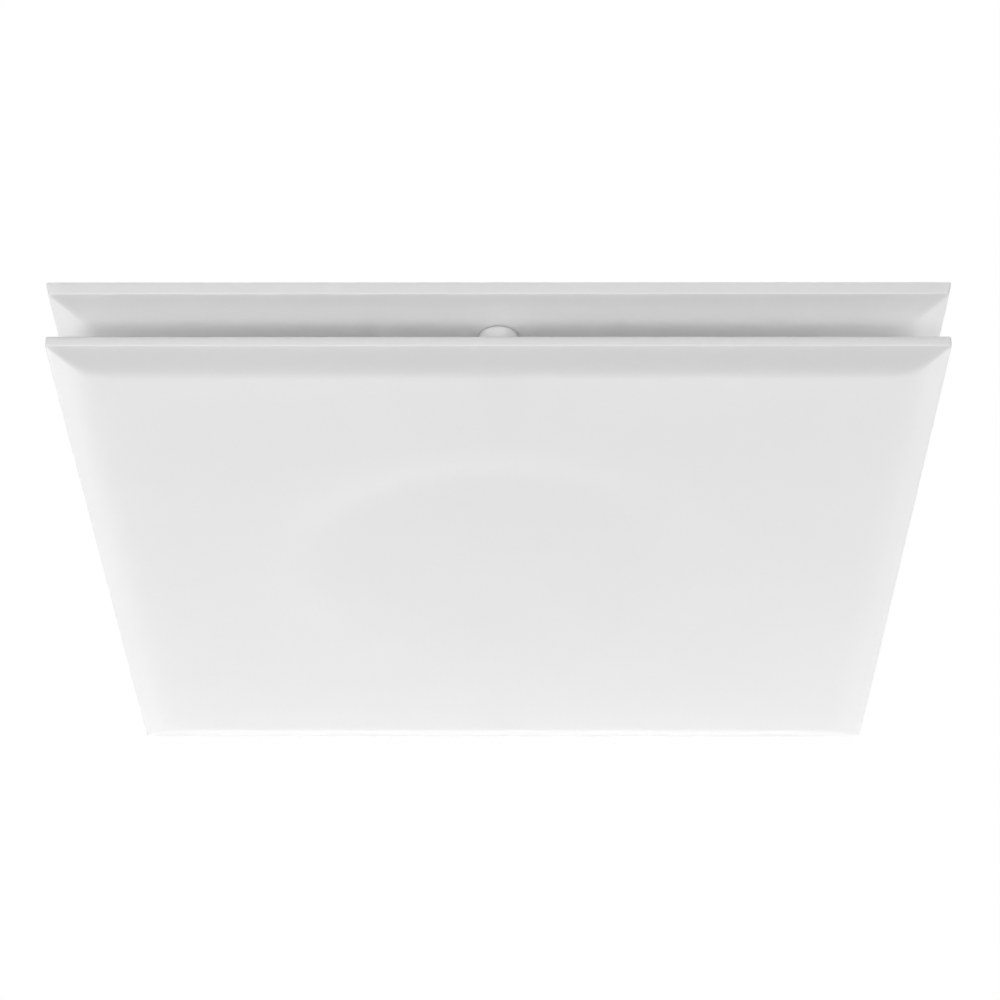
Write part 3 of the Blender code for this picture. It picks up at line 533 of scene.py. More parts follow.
def folded(outline, low_x, high_x):
    """A strip of constant section, given as (y, z) or (y, z, fillet) points, along X."""
    section = rounded(outline)
    return skin([[(x, y, z) for y, z in section] for x in (low_x, high_x)], False)


def around(angle, radius=0.0):
    """The place at this angle in degrees round Z and this distance from it."""
    return Matrix.Rotation(math.radians(angle), 4, "Z") @ Matrix.Translation((radius, 0, 0))


def placed(obj, place):
    obj.data.transform(place)
    return obj


def applied(obj):
    """Applies the object's modifiers."""
    bpy.context.view_layer.update()
    graph = bpy.context.evaluated_depsgraph_get()
    mesh = bpy.data.meshes.new_from_object(obj.evaluated_get(graph))
    obj.modifiers.clear()
    obj.data = mesh
    return obj


def combined(obj, helpers, operation):
    """Unites helpers with the object, or cuts them out of it. Helpers don't touch each other."""
    group = bpy.data.collections.new("helpers")
    bpy.context.scene.collection.children.link(group)
    for helper in helpers:
        bpy.context.scene.collection.objects.unlink(helper)
        group.objects.link(helper)
    boolean = obj.modifiers.new(operation, "BOOLEAN")
    boolean.operation = operation
    boolean.operand_type = "COLLECTION"
    boolean.collection = group
    boolean.solver = "EXACT"
    applied(obj)
    for helper in helpers:
        bpy.data.objects.remove(helper)
    bpy.data.collections.remove(group)
    return obj


def united(obj, *helpers):
    return combined(obj, helpers, "UNION")


def without(obj, *helpers):
    return combined(obj, helpers, "DIFFERENCE")


def softened(obj, width):
    """Rounds the edges that are still sharp."""
    bevel = obj.modifiers.new("Soften", "BEVEL")
    bevel.width = width
    bevel.segments = 2
    bevel.limit_method = "ANGLE"
    bevel.angle_limit = SOFTENED_ANGLE
    return applied(obj)


def threaded_rod(core, crest, pitch, bottom, top, steps=24):
    """A rod with a helical thread, trimmed flat at both ends.

    The section gives the root's and the crest's ends as shares of a pitch, with their radii.
    """
    section = ((0.0, core), (0.14, core), (0.46, crest), (0.60, crest))
    rows = []
    turns = int((top - bottom) / pitch) + 2 * SPARE_TURNS
    for turn in range(turns):
        start = bottom + (turn - SPARE_TURNS) * pitch
        rows += [(start + share * pitch, radius) for share, radius in section]
    bm = bmesh.new()
    columns = []
    for i in range(steps):
        angle = 2 * math.pi * i / steps
        columns.append([bm.verts.new((radius * math.cos(angle), radius * math.sin(angle),
                                      height + pitch * i / steps)) for height, radius in rows])
    for i, column in enumerate(columns):
        lift = len(section) if i == steps - 1 else 0
        beside = columns[(i + 1) % steps]
        for j in range(len(rows) - 1 - lift):
            bm.faces.new((column[j + lift], beside[j], beside[j + 1], column[j + lift + 1]))
    for height, above in ((bottom, False), (top, True)):
        bmesh.ops.bisect_plane(bm, geom=bm.verts[:] + bm.edges[:] + bm.faces[:], dist=TINY,
                               plane_co=(0, 0, height), plane_no=(0, 0, 1),
                               clear_outer=above, clear_inner=not above)
    bmesh.ops.holes_fill(bm, edges=[edge for edge in bm.edges if edge.is_boundary], sides=0)
    bmesh.ops.recalc_face_normals(bm, faces=bm.faces)
    return object_from(bm)


def cross_recess(width, slot, bottom, top):
    """Two crossing wedges, narrower at their bottom. bottom may be above top, for a head below."""
    narrowed, thinned = 0.55, 0.6
    blades = []
    for angle in QUARTERS[:2]:
        blade = block((-width / 2, -slot / 2, min(bottom, top)),
                      (width / 2, slot / 2, max(bottom, top)))
        for vertex in blade.data.vertices:
            if abs(vertex.co.z - bottom) < TINY:
                vertex.co.x *= narrowed
                vertex.co.y *= thinned
        blades.append(placed(blade, around(angle)))
    return blades


def stand_in(obj, node, look=None):
    """The piece takes the CAD node's body, slot and place in the model, and gets its finish."""
    obj.name = f"{node}_piece"
    mesh = obj.data
    mesh.name = obj.name
    bm = bmesh.new()
    bm.from_mesh(mesh)
    bmesh.ops.remove_doubles(bm, verts=bm.verts, dist=SAME_POINT)
    bmesh.ops.dissolve_degenerate(bm, edges=bm.edges, dist=SAME_POINT)
    bm.to_mesh(mesh)
    bm.free()
    mesh.shade_smooth()
    mesh.set_sharp_from_angle(angle=SHARP_ANGLE)
    mesh.materials.clear()
    mesh.materials.append(look or LOOKS[SLOT_OF[node]])
    normals = obj.modifiers.new("Flat faces stay flat", "WEIGHTED_NORMAL")
    normals.keep_sharp = True
    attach(obj, BODY_OF[node])
    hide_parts(node)
    return obj


def copies(prototype, places):
    """A stand-in for each node in {node: place}, made from one prototype at the origin."""
    for node, place in places.items():
        obj = new_object(prototype.data.copy())
        stand_in(placed(obj, place), node)
    bpy.data.objects.remove(prototype)


def round_box(node):
    """The low and high corners of a round node's box, and its radius."""
    low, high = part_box(node)
    return low, high, (high.x - low.x) / 2


def axis_of(node):
    """The place of a round node's axis, at height 0."""
    low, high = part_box(node)
    middle = (low + high) / 2
    return Matrix.Translation((middle.x, middle.y, 0))


def turned_out(node):
    """The place of a round node's axis, with +X away from the diffuser's centre."""
    place = axis_of(node).translation
    return around(math.degrees(math.atan2(place.y, place.x)), place.length)


def numbered(name, count=4):
    return [f"{name}_{n}" for n in range(1, count + 1)]


def outward_copies(prototype, name, count=4, turn=0.0):
    """Copies for numbered nodes, turned outward, and each by one more turn round its own axis."""
    copies(prototype, {node: turned_out(node) @ Matrix.Rotation(turn * n, 4, "Z")
                       for n, node in enumerate(numbered(name, count))})


# ------------------------ the two trays

def chamfer_drop(run):
    """How far the chamfer lies below the rim's lower corner, at this distance inside the corner."""
    run = min(max(run, 0.0), CHAMFER_WIDTH)
    bend = max(0.0, run - CHAMFER_STRAIGHT)
    return CHAMFER_SLOPE * (run - bend * bend / (2 * CHAMFER_BLEND))


def chamfer_blend(draft, rim_bottom):
    """The (inset, height) points from the end of the chamfer's straight part to the flat."""
    runs = [CHAMFER_STRAIGHT + CHAMFER_BLEND * i / CHAMFER_STEPS for i in range(CHAMFER_STEPS + 1)]
    return [(draft + run, rim_bottom - chamfer_drop(run)) for run in runs]


def tray_rings(profile, half):
    """Square rings for (inset, height) points, whose corners grow rounder as they go in."""
    return [square(half - inset, height, CORNER_RADIUS + CORNER_GROWTH * min(inset, CHAMFER_WIDTH))
            for inset, height in rounded(profile, closed=False)]


def ejector_mark(surface, place):
    """The dent that a mould's ejector leaves in the surface at this height."""
    dent = pin(4 * MM, surface - 0.15 * MM, surface + OVERLAP, ROUND_STEPS)
    return placed(dent, place)


def face_panel():
    low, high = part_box("face_panel")
    half = high.x
    rim_bottom = low.z + CHAMFER_DROP
    rim_top = rim_bottom + PANEL_RIM
    floor = low.z + WALL
    wall_foot = rim_bottom + WALL - chamfer_drop(WALL - PANEL_DRAFT)
    flat = CHAMFER_WIDTH + 3 * MM
    outer = chamfer_blend(PANEL_DRAFT, rim_bottom)
    inner = [(inset, height + WALL) for inset, height in reversed(outer)]
    profile = [(flat, floor), *inner, (WALL, wall_foot, 0.6 * MM), (WALL, rim_top, 0.4 * MM),
               (0, rim_top, 0.45 * MM), (PANEL_DRAFT, rim_bottom, RIM_ROUNDING), *outer,
               (flat, low.z)]
    panel = skin(tray_rings(profile, half), False)

    root = floor - OVERLAP
    post_offset = axis_of("spacer_post_1").translation.length
    stub_radius, stub_foot, stub_bore = 3.7 * MM, 4.1 * MM, 1.1 * MM
    ribs = []
    stubs = []
    for angle in QUARTERS:
        rib = block((30 * MM, -RIB_HALF, root), (183.5 * MM, RIB_HALF, floor + 1.8 * MM), 0.35 * MM)
        ribs.append(placed(rib, around(angle + 45)))
        stub = lathe([
            (0, root), (stub_foot, root), (stub_foot, floor), (stub_radius, floor + 0.5 * MM),
            (stub_radius, high.z, 0.4 * MM), (stub_bore, high.z), (stub_bore, floor + 0.5 * MM),
            (0, floor + 0.3 * MM)])
        stubs.append(placed(stub, around(angle, post_offset)))
    gate = lathe([
        (0, root), (2.4 * MM, root), (2.4 * MM, floor + 0.5 * MM, 0.2 * MM),
        (1.6 * MM, floor + 0.9 * MM, 0.3 * MM), (0, floor + 0.7 * MM)], SMALL_STEPS)
    united(panel, *ribs, *stubs, gate)
    marks = [ejector_mark(floor, around(angle, radius))
             for radius in (45 * MM, 105 * MM) for angle in QUARTERS]
    stand_in(without(panel, *marks), "face_panel")


def clamp_tower(base, top):
    """Two stop walls and the bridge over one clamp: a block with a room open on two sides."""
    face, wall, reach = 5.6 * MM, 2.5 * MM, 7.0 * MM
    room_floor = 0.5 * MM
    far = face + wall
    tower = block((-far, -reach, base), (reach, far, top))
    room = block((-face, -far - OVERLAP, room_floor), (far + OVERLAP, face, top - wall))
    return softened(without(tower, room), 0.35 * MM)


def frame_body(low, half, back, neck_top):
    """The frame as one skin: square rings round the tray, round ones over neck and bell mouth."""
    rim_top, rim_bottom = 0.0, -FRAME_RIM
    underside = back - WALL
    flat = 20 * MM
    seal_floor, seal_end = -2.6 * MM, 9.4 * MM
    fence_top, fence = -0.8 * MM, FENCE_INSET
    fence_foot = rim_bottom - chamfer_drop(fence - FRAME_DRAFT) + WALL
    neck_outside, flange, flange_bottom = 75 * MM, 90 * MM, neck_top - 2.5 * MM
    bell, bell_top, lip = 84 * MM, 4 * MM, 89 * MM

    def flare(inner, bottom):
        """The bell mouth's quarter of an ellipse, from its lip up to the neck."""
        angles = [math.pi / 2 * i / FLARE_STEPS for i in range(FLARE_STEPS + 1)]
        return [(bell - (bell - inner) * math.sin(a), bell_top - (bell_top - bottom) * math.cos(a))
                for a in angles]

    outer = chamfer_blend(FRAME_DRAFT, rim_bottom)
    inside = [(inset, height + WALL) for inset, height in outer if inset > fence]
    square_part = [
        (flat, underside), *reversed(outer), (FRAME_DRAFT, rim_bottom, RIM_ROUNDING),
        (0, rim_top, 0.35 * MM), (WALL, rim_top, 0.3 * MM), (WALL, seal_floor, 0.3 * MM),
        (seal_end, seal_floor, 0.3 * MM), (seal_end, fence_top, 0.3 * MM),
        (fence, fence_top, 0.3 * MM), (fence, fence_foot, 0.3 * MM), *inside, (flat, back)]
    back_flare = [p for p in flare(neck_outside, back - 0.4 * MM) if p[1] > back + 0.3 * MM]
    turned_part = [
        (bell + 1.2 * MM, back), *back_flare, (neck_outside, flange_bottom, 1.2 * MM),
        (flange, flange_bottom, 0.5 * MM), (flange, neck_top, 0.5 * MM),
        (NECK_RADIUS, neck_top, 0.3 * MM), *reversed(flare(NECK_RADIUS, low.z)),
        (lip, low.z, 0.3 * MM), (lip, underside)]
    rings = tray_rings(square_part, half)
    rings += [matching_circle(r, z) for r, z in rounded(turned_part, closed=False)]
    return skin(rings, True)


def frame_additions(half, base, neck_top, tower_top, post_offset):
    """Lugs for the cross bar, bosses for screws and keepers, clamp towers and ribs."""
    additions = []
    for angle in HALVES:
        lug = block((58 * MM, -11 * MM, 7.5 * MM), (74 * MM, 11 * MM, 12 * MM), 0.5 * MM)
        additions.append(placed(lug, around(angle)))
    for angle in QUARTERS:
        boss = lathe([
            (0, neck_top - OVERLAP), (3.9 * MM, neck_top - OVERLAP), (4.0 * MM, base), (0, base)],
            SMALL_STEPS)
        additions.append(placed(boss, around(angle + 45, SPIGOT_SCREWS_OUT)))
        boss = lathe([(0, -1 * MM), (8.4 * MM, -1 * MM, 0.4 * MM), (8.6 * MM, base), (0, base)])
        additions.append(placed(boss, around(angle, post_offset)))
        additions.append(placed(clamp_tower(base, tower_top), around(angle + 45, CLAMPS_OUT)))
        for offset in (-42 * MM, 42 * MM):
            rib = block((85 * MM, offset - RIB_HALF, base),
                        (half - FENCE_INSET - 0.3 * MM, offset + RIB_HALF, -1.5 * MM), 0.3 * MM)
            additions.append(placed(rib, around(angle)))
    return additions


def frame_cuts(underside, back, tower_top, post_offset):
    """Screw holes, the keepers' pockets, the clamps' stepped holes and the ejectors' marks."""
    above, below = 20 * MM, underside - OVERLAP
    keeper_seat = underside + 2.1 * MM
    clamp_seat = underside + 4 * MM
    cuts = []
    for angle in QUARTERS:
        hole = pin(1.25 * MM, -2 * MM, above, tip=0.5 * MM)
        cuts.append(placed(hole, around(angle + 45, SPIGOT_SCREWS_OUT)))
        pocket = lathe([
            (0, -1.8 * MM), (1.0 * MM, -1.8 * MM), (1.0 * MM, keeper_seat),
            (5.9 * MM, keeper_seat, 0.2 * MM), (5.9 * MM, below), (0, below)])
        cuts.append(placed(pocket, around(angle, post_offset)))
        bore = lathe([
            (0, tower_top + OVERLAP), (2.3 * MM, tower_top + OVERLAP), (2.3 * MM, clamp_seat),
            (4.2 * MM, clamp_seat, 0.2 * MM), (4.2 * MM, below), (0, below)])
        cuts.append(placed(bore, around(angle + 45, CLAMPS_OUT)))
        for sideways in (-60 * MM, 60 * MM):
            beside = around(angle) @ Matrix.Translation((126 * MM, sideways, 0))
            cuts.append(ejector_mark(back, beside))
    for angle in HALVES:
        hole = pin(1.2 * MM, 8.5 * MM, above, tip=0.3 * MM)
        cuts.append(placed(hole, around(angle, BAR_SCREWS_OUT)))
    return cuts


def ceiling_frame():
    low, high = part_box("ceiling_frame")
    underside = -FRAME_RIM - CHAMFER_DROP
    back = underside + WALL
    neck_top = 14 * MM
    post_offset = axis_of("spacer_post_1").translation.length
    body = frame_body(low, high.x, back, neck_top)
    united(body, *frame_additions(high.x, back - OVERLAP, neck_top, high.z, post_offset))
    cuts = frame_cuts(underside, back, high.z, post_offset)
    stand_in(without(body, *cuts), "ceiling_frame")


def ceiling_seal():
    """Square foam strip with a crowned top that wavers a little, as cut foam does."""
    low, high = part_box("ceiling_seal")
    outside = high.x
    inside = outside - 6.2 * MM
    shoulder = high.z - 0.5 * MM
    waves_x, waves_y, depth = 310, 270, 0.06 * MM
    crown = [(inside, low.z, 0.3 * MM), (outside, low.z, 0.3 * MM), (outside, shoulder, 0.6 * MM),
             ((inside + outside) / 2, high.z + 0.1 * MM, 3 * MM), (inside, shoulder, 0.6 * MM)]
    seal = skin([square(r, z, 0.4 * MM) for r, z in rounded(crown)], True)
    for vertex in seal.data.vertices:
        if vertex.co.z > low.z + 1.5 * MM:
            wave = math.sin(waves_x * vertex.co.x) * math.sin(waves_y * vertex.co.y + 1)
            vertex.co.z = min(vertex.co.z - depth * (1 + wave), high.z)
    stand_in(seal, "ceiling_seal")


# ------------------------ neck, spigot and their fasteners

def drilled_ring(profile, hole_radius):
    """A turned ring with the four spigot screws' holes."""
    ring = lathe(profile, FINE_STEPS, closed=True)
    low = min(point[1] for point in profile) - OVERLAP
    high = max(point[1] for point in profile) + OVERLAP
    holes = [placed(pin(hole_radius, low, high), turned_out(node))
             for node in numbered("spigot_screw")]
    return without(ring, *holes)


def duct_spigot():
    low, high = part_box("duct_spigot")
    outside, inside = 74.3 * MM, 72.3 * MM
    bead = outside + 0.6 * MM
    flange_top = low.z + 2.5 * MM
    profile = [(outside - 0.5 * MM, high.z, 0.5 * MM), (outside, high.z - 1.2 * MM, 0.6 * MM)]
    for height in (42.0 * MM, 37.0 * MM):
        profile += [(outside, height + 0.45 * MM, 0.2 * MM), (bead, height + 0.3 * MM, 0.25 * MM),
                    (bead, height - 0.3 * MM, 0.25 * MM), (outside, height - 0.45 * MM, 0.2 * MM)]
    profile += [(outside, flange_top, 1.2 * MM), (high.x, flange_top, 0.6 * MM),
                (high.x, low.z, 0.5 * MM), (inside, low.z, 0.5 * MM), (inside, high.z, 0.4 * MM)]
    spigot = drilled_ring(profile, 1.7 * MM)
    reach, thin_end = 6 * MM, 0.6 * MM
    gussets = []
    for angle in range(0, 360, 30):
        if angle % 90:
            gusset = block((outside - 0.5 * MM, -0.8 * MM, flange_top - 0.5 * MM),
                           (outside + reach, 0.8 * MM, flange_top + reach))
            for vertex in gusset.data.vertices:
                if vertex.co.x > outside + reach - OVERLAP:
                    vertex.co.z = min(vertex.co.z, flange_top + thin_end)
            gussets.append(placed(softened(gusset, 0.25 * MM), around(angle)))
    stand_in(united(spigot, *gussets), "duct_spigot")


def neck_gasket():
    low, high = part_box("neck_gasket")
    slant = 0.1 * MM
    profile = [(high.x, high.z, 0.3 * MM), (high.x - slant, low.z, 0.3 * MM),
               (NECK_RADIUS, low.z, 0.3 * MM), (NECK_RADIUS + slant, high.z, 0.3 * MM)]
    stand_in(drilled_ring(profile, 1.9 * MM), "neck_gasket")


def spigot_seal():
    """Rubber ring with two thin lips that lean away from the duct's end."""
    low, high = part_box("spigot_seal")
    inside = 74.6 * MM
    root = inside + 0.5 * MM
    tip = high.x
    profile = [(inside, high.z, 0.15 * MM), (root, high.z, 0.2 * MM),
               (tip, high.z - 1.3 * MM, 0.12 * MM), (root, high.z - 1.0 * MM, 0.15 * MM),
               (root, high.z - 1.9 * MM, 0.15 * MM), (tip, low.z + 0.2 * MM, 0.12 * MM),
               (root, low.z + 0.5 * MM, 0.15 * MM), (inside, low.z, 0.1 * MM)]
    stand_in(lathe(profile, FINE_STEPS, closed=True), "spigot_seal")


def pan_screw(node, shank, head_height, pitch):
    """A pan-head screw with a cross recess and a thread, as long as the node it stands for."""
    low, high, head = round_box(node)
    top = high.z
    seat = top - head_height
    core = shank * 0.75
    screw = lathe([
        (0, top + 0.05 * MM), (head * 0.55, top, 0.5 * MM),
        (head * 0.93, seat + head_height * 0.55, 0.6 * MM), (head, seat, 0.25 * MM), (core, seat),
        (core, low.z + 1.2 * shank), (0, low.z)], SMALL_STEPS)
    united(screw, threaded_rod(shank * 0.76, shank, pitch, low.z + 1.1 * shank, seat - 0.5 * MM))
    for vertex in screw.data.vertices:
        vertex.co.z = min(vertex.co.z, top)
    return without(screw, *cross_recess(head * 1.15, head * 0.27, top - head_height * 0.6,
                                        top + 0.2 * MM))


def pan_screws():
    for name, count, shank, head_height, pitch in (
            ("spigot_screw", 4, 1.2 * MM, 2.2 * MM, 1.1 * MM),
            ("bar_screw", 2, 1.2 * MM, 2.0 * MM, 1.1 * MM),
            ("post_screw", 4, 0.8 * MM, POST_SCREW_HEAD, 0.8 * MM)):
        screw = pan_screw(f"{name}_1", shank, head_height, pitch)
        outward_copies(screw, name, count, turn=0.4)


def keepers():
    low, high, radius = round_box("keeper_plate_1")
    plate = lathe([
        (radius, high.z, 0.2 * MM), (radius, low.z, 0.25 * MM), (3.0 * MM, low.z, 0.1 * MM),
        (1.4 * MM, high.z, 0.1 * MM)], closed=True)
    outward_copies(plate, "keeper_plate")
    low, high, head = round_box("keeper_screw_1")
    core = 0.7 * MM
    screw = lathe([
        (0, high.z), (core, high.z - 0.8 * MM), (core, low.z + 1.5 * MM, 0.1 * MM),
        (head, low.z + 0.15 * MM, 0.15 * MM), (head * 0.9, low.z, 0.1 * MM), (0, low.z)],
        SMALL_STEPS)
    united(screw, threaded_rod(0.69 * MM, 0.9 * MM, 0.7 * MM, low.z + 1.6 * MM, high.z - 0.6 * MM))
    without(screw, *cross_recess(2.4 * MM, 0.6 * MM, low.z + 0.8 * MM, low.z - 0.2 * MM))
    outward_copies(screw, "keeper_screw", turn=0.5)


# ------------------------ damper

def bar_seat():
    """The height at which fittings sit on the floor of the cross bar."""
    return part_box("cross_bar")[0].z + BAR_SHEET + GAP


def cross_bar():
    """Folded steel channel with rounded bends and ends, and holes for its fittings."""
    low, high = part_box("cross_bar")
    sheet = 1.5 * MM
    inner, channel = high.y - sheet, low.z + BAR_SHEET
    outline = [(low.y, high.z, 0.3 * MM), (low.y, low.z, 1.6 * MM), (high.y, low.z, 1.6 * MM),
               (high.y, high.z, 0.3 * MM), (inner, high.z, 0.3 * MM), (inner, channel, 0.8 * MM),
               (-inner, channel, 0.8 * MM), (-inner, high.z, 0.3 * MM)]
    bar = folded(outline, low.x, high.x)
    above = 30 * MM
    holes = [pin(6.8 * MM, 0, above, ROUND_STEPS)]
    for angle in HALVES:
        for radius, distance in ((2.3 * MM, GUIDE_RODS_OUT), (1.6 * MM, BAR_SCREWS_OUT)):
            holes.append(placed(pin(radius, 0, above), around(angle, distance)))
        corner = block((low.x - OVERLAP, low.y - OVERLAP, low.z + sheet + 2.6 * MM),
                       (low.x + 5 * MM, high.y + OVERLAP, high.z + OVERLAP))
        for vertex in corner.data.vertices:
            if vertex.co.x > low.x and vertex.co.z < high.z:
                vertex.co.z = high.z + 0.5 * MM
        holes.append(placed(corner, around(angle)))
    stand_in(without(bar, *holes), "cross_bar", FOLDED_STEEL)


def guide_rods():
    low, high, head = round_box("guide_rod_1")
    radius = 2.0 * MM
    collar, collar_height = 3 * MM, 1.6 * MM
    seat = bar_seat()
    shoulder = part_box("cross_bar")[0].z - GAP
    rod = lathe([
        (0, high.z), (head * 0.6, high.z - 0.1 * MM, 0.5 * MM), (head, seat + 0.5 * MM, 0.4 * MM),
        (head, seat), (radius, seat), (radius, shoulder), (collar, shoulder, 0.2 * MM),
        (collar, shoulder - collar_height, 0.3 * MM), (radius, shoulder - collar_height, 0.2 * MM),
        (radius, low.z + 0.6 * MM, 0.3 * MM), (radius - 0.6 * MM, low.z, 0.2 * MM), (0, low.z)],
        SMALL_STEPS)
    copies(rod, {node: axis_of(node) for node in numbered("guide_rod", 2)})


def spindle_bush():
    low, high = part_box("spindle_bush")
    seat = bar_seat()
    sleeve, bore = 6.6 * MM, 4.3 * MM
    bush = lathe([
        (high.x, high.z, 0.4 * MM), (high.x, seat, 0.15 * MM), (sleeve, seat),
        (sleeve, low.z, 0.2 * MM), (bore, low.z, 0.25 * MM), (bore, high.z, 0.4 * MM)], closed=True)
    stand_in(bush, "spindle_bush")


def lead_screw():
    """Nylon spindle with a driver slot below, a thread for the disc nut, a collar and a groove."""
    low, high, collar = round_box("lead_screw")
    radius, core = 4.0 * MM, 3.1 * MM
    collar_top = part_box("cross_bar")[0].z - 0.4 * MM
    collar_bottom = collar_top - 1.5 * MM
    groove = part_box("spindle_clip")[0].z - 0.2 * MM
    groove_top = groove + 1.1 * MM
    spindle = lathe([
        (0, high.z), (radius, high.z, 0.6 * MM), (radius, groove_top, 0.1 * MM),
        (core, groove_top), (core, groove), (radius, groove, 0.1 * MM), (radius, collar_top),
        (collar, collar_top, 0.25 * MM), (collar, collar_bottom, 0.25 * MM),
        (core, collar_bottom, 0.5 * MM), (core, low.z + 1 * MM), (radius, low.z + 1 * MM, 0.1 * MM),
        (radius, low.z, 0.5 * MM), (0, low.z)])
    united(spindle, threaded_rod(core + 0.02 * MM, radius, 4 * MM, low.z + 0.8 * MM,
                                 collar_top - 3 * MM, 36))
    driver_slot = block((-10 * MM, -0.7 * MM, low.z - OVERLAP),
                        (10 * MM, 0.7 * MM, low.z + 2.2 * MM))
    stand_in(without(spindle, driver_slot), "lead_screw")


def spindle_fasteners():
    low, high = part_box("thrust_washer")
    washer = flat_ring(low.z, high.z, high.x, 4.3 * MM, (0.12, 0.2, 0.12, 0.2))
    stand_in(washer, "thrust_washer")
    low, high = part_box("spindle_clip")
    clip = flat_ring(low.z, high.z, -low.x, 3.4 * MM, (0.15, 0.2, 0.1, 0.1))
    below, above = low.z - OVERLAP, high.z + OVERLAP
    mouth = block((0, -2.2 * MM, below), (10 * MM, 2.2 * MM, above))
    notches = [placed(pin(1.1 * MM, below, above), around(angle, 3.6 * MM)) for angle in (110, 250)]
    stand_in(without(clip, mouth, *notches), "spindle_clip")


def damper_disc():
    """Moulded disc with a turned-down edge and radial ribs below."""
    low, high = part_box("damper_disc")
    radius, edge, hub = high.x, 2.0 * MM, 8 * MM
    below = high.z - DISC_SHEET
    disc = lathe([
        (radius, high.z, 0.5 * MM), (radius, low.z, 0.5 * MM), (radius - edge, low.z, 0.4 * MM),
        (radius - edge, below, 0.6 * MM), (hub, below, 0.2 * MM), (hub, high.z, 0.4 * MM)],
        FINE_STEPS, closed=True)
    ribs = [placed(block((14 * MM, -0.7 * MM, below - 1.2 * MM),
                         (radius - edge + 0.5 * MM, 0.7 * MM, below + 0.5 * MM), 0.25 * MM),
                   around(angle)) for angle in range(30, 360, 60)]
    united(disc, *ribs)
    ways = [placed(pin(2.6 * MM, low.z - OVERLAP, high.z + OVERLAP),
                   around(angle, GUIDE_RODS_OUT)) for angle in HALVES]
    stand_in(without(disc, *ways), "damper_disc")


def disc_nut():
    """Hub that snaps into the disc: a flange with grip notches below, and a barbed rim above."""
    low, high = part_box("disc_nut")
    disc_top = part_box("damper_disc")[1].z
    bore, flange, sleeve = 4.3 * MM, high.x, 7.7 * MM
    seat = disc_top - DISC_SHEET - GAP
    nut = lathe([
        (7.0 * MM, high.z, 0.3 * MM), (8.5 * MM, disc_top + 0.6 * MM, 0.15 * MM),
        (sleeve, disc_top + GAP), (sleeve, seat), (flange, seat, 0.3 * MM),
        (flange, low.z, 0.5 * MM), (bore, low.z, 0.4 * MM), (bore, high.z, 0.4 * MM)], closed=True)
    notches = [placed(pin(0.9 * MM, low.z - OVERLAP, seat + OVERLAP),
                      around(angle, flange + 0.2 * MM)) for angle in range(0, 360, 30)]
    slits = [placed(block((5 * MM, -0.5 * MM, disc_top - 1.2 * MM),
                          (10 * MM, 0.5 * MM, high.z + OVERLAP)), around(angle))
             for angle in QUARTERS]
    stand_in(without(nut, *notches, *slits), "disc_nut")


def damper_seal():
    low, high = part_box("damper_seal")
    inside, tip = 69.3 * MM, high.x
    profile = [
        (inside, high.z, 0.2 * MM), (tip, high.z - 1.2 * MM, 0.25 * MM),
        (tip, high.z - 1.8 * MM, 0.25 * MM), (inside + 1.0 * MM, high.z - 2.3 * MM, 0.4 * MM),
        (inside + 0.7 * MM, low.z, 0.3 * MM), (inside, low.z, 0.2 * MM)]
    stand_in(lathe(profile, FINE_STEPS, closed=True), "damper_seal")


# ------------------------ posts and clamps

def spacer_posts():
    low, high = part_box("spacer_post_1")
    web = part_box("post_screw_1")[1].z - POST_SCREW_HEAD - GAP
    web_bottom = web - 3.0 * MM
    magnet_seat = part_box("magnet_1")[0].z - GAP
    socket, screw_way, head_way, magnet_way = 4.0 * MM, 1.6 * MM, 3.4 * MM, 5.2 * MM
    post = lathe([
        (POST_RADIUS, high.z, 0.25 * MM), (POST_RADIUS, low.z, 0.2 * MM), (socket, low.z, 0.3 * MM),
        (socket, web_bottom, 0.2 * MM), (screw_way, web_bottom), (screw_way, web),
        (head_way, web), (head_way, magnet_seat), (magnet_way, magnet_seat, 0.1 * MM),
        (magnet_way, high.z, 0.2 * MM)], closed=True)
    outward_copies(post, "spacer_post")
    low, high, radius = round_box("magnet_1")
    edge = 0.35 * MM
    magnet = lathe([(0, high.z), (radius, high.z, edge), (radius, low.z, edge), (0, low.z)])
    outward_copies(magnet, "magnet")


def clamp_screws():
    low, high, head = round_box("clamp_screw_1")
    seat = low.z + 3.4 * MM
    radius, core = 2.0 * MM, 1.5 * MM
    screw = lathe([
        (0, high.z), (1.4 * MM, high.z, 0.2 * MM), (core, high.z - 1.2 * MM), (core, 1.8 * MM),
        (radius, 1.4 * MM), (radius, seat), (head, seat, 0.3 * MM),
        (head, low.z + 1.2 * MM, 0.5 * MM), (head * 0.7, low.z, 0.8 * MM), (0, low.z)], SMALL_STEPS)
    united(screw, threaded_rod(core + 0.02 * MM, radius, 2 * MM, 2 * MM, high.z - 1 * MM, 28))
    without(screw, *cross_recess(4.4 * MM, 1.0 * MM, low.z + 2.0 * MM, low.z - 0.2 * MM))
    outward_copies(screw, "clamp_screw")
    low, high, outer = round_box("clamp_clip_1")
    clip = flat_ring(low.z, high.z, outer, 2.3 * MM, (0.12, 0.18, 0.1, 0.1))
    slits = [placed(block((2.0 * MM, -0.3 * MM, low.z - OVERLAP),
                          (3.4 * MM, 0.3 * MM, high.z + OVERLAP)), around(angle))
             for angle in range(0, 360, 60)]
    outward_copies(without(clip, *slits), "clamp_clip")


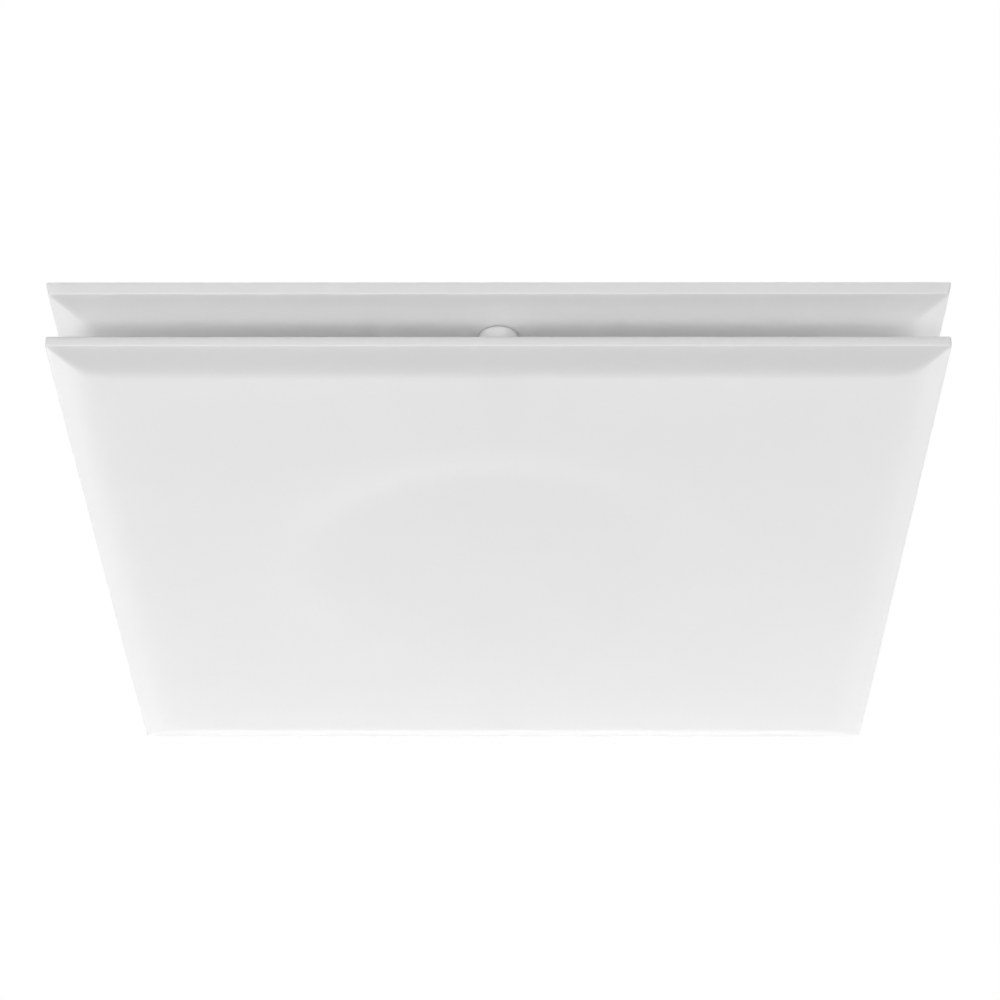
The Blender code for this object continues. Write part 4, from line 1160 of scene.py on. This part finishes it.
def clamp_nuts():
    """Brass inserts with a knurled flange above the dog and a rolled lip below it."""
    low, high, flange = round_box("clamp_nut_1")
    seat, lip_top = high.z - 1.2 * MM, low.z + 0.6 * MM
    sleeve, lip, bore = 3.4 * MM, 4.1 * MM, 2.3 * MM
    nut = lathe([
        (flange, high.z, 0.25 * MM), (flange, seat, 0.2 * MM), (sleeve, seat), (sleeve, lip_top),
        (lip, lip_top, 0.1 * MM), (3.8 * MM, low.z, 0.2 * MM), (bore, low.z, 0.2 * MM),
        (bore, high.z, 0.3 * MM)], closed=True)
    teeth = [placed(pin(0.3 * MM, seat - 0.1 * MM, high.z + OVERLAP, 6),
                    around(angle, flange + 0.1 * MM)) for angle in range(0, 360, 12)]
    outward_copies(without(nut, *teeth), "clamp_nut")


def clamp_dogs():
    """Boss on the insert and an arm with a toothed end that grips the ceiling board."""
    low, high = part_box("clamp_dog_1")
    bottom = low.z + 2 * MM
    length, half = 24 * MM, 4.8 * MM
    boss = 5.2 * MM
    dog = lathe([(0, high.z), (boss, high.z, 0.3 * MM), (boss, bottom, 0.3 * MM), (0, bottom)])
    arm = block((-half, -length, bottom + OVERLAP), (half, 0, high.z - 0.2 * MM))
    for vertex in arm.data.vertices:
        if vertex.co.y < -length / 2:
            vertex.co.x *= 0.86
            vertex.co.z = min(vertex.co.z, high.z - 1.0 * MM)
    pitch, lift, tooth_half = 1.7 * MM, 0.4 * MM, half * 0.84
    teeth = []
    for n in range(3):
        far = -length + 0.15 * MM + pitch * n
        tooth = block((-tooth_half, far, low.z + lift * n),
                      (tooth_half, far + 1.1 * MM, high.z - 1.5 * MM))
        teeth.append(softened(tooth, 0.2 * MM))
    united(dog, softened(arm, 0.5 * MM))
    united(dog, *teeth)
    hollow = block((-2.6 * MM, -18.5 * MM, high.z - 1.8 * MM),
                   (2.6 * MM, -7 * MM, high.z + OVERLAP), 0.4 * MM)
    bore = pin(3.7 * MM, bottom - OVERLAP, high.z + OVERLAP, ROUND_STEPS)
    without(dog, hollow, bore)
    screws = map(turned_out, numbered("clamp_screw"))
    copies(dog, dict(zip(numbered("clamp_dog"), screws)))


# ------------------------ stage

def add_floor():
    floor = block((-40, -40, FLOOR_HEIGHT - 0.02), (40, 40, FLOOR_HEIGHT))
    floor.name = floor.data.name = "studio_floor"
    look = Look("pale_floor", 0.85)
    look.colour(look.between(look.noise(0.6, 3), (0.20, 0.20, 0.20), (0.24, 0.24, 0.24)))
    look.bump(look.noise(0.01, 2), 0.1 * MM, 0.3)
    look.shader.inputs["Emission Color"].default_value = (1, 1, 1, 1)
    look.shader.inputs["Emission Strength"].default_value = FLOOR_GLOW
    look.material.cycles.emission_sampling = "NONE"
    floor.data.materials.append(look.material)
    for ray in ("diffuse", "glossy", "transmission", "volume_scatter", "shadow"):
        setattr(floor, "visible_" + ray, False)


add_camera()
add_world()
add_lights()
add_floor()

face_panel()
ceiling_frame()
ceiling_seal()
duct_spigot()
neck_gasket()
spigot_seal()
pan_screws()
keepers()
cross_bar()
guide_rods()
spindle_bush()
lead_screw()
spindle_fasteners()
damper_disc()
disc_nut()
damper_seal()
spacer_posts()
clamp_screws()
clamp_nuts()
clamp_dogs()
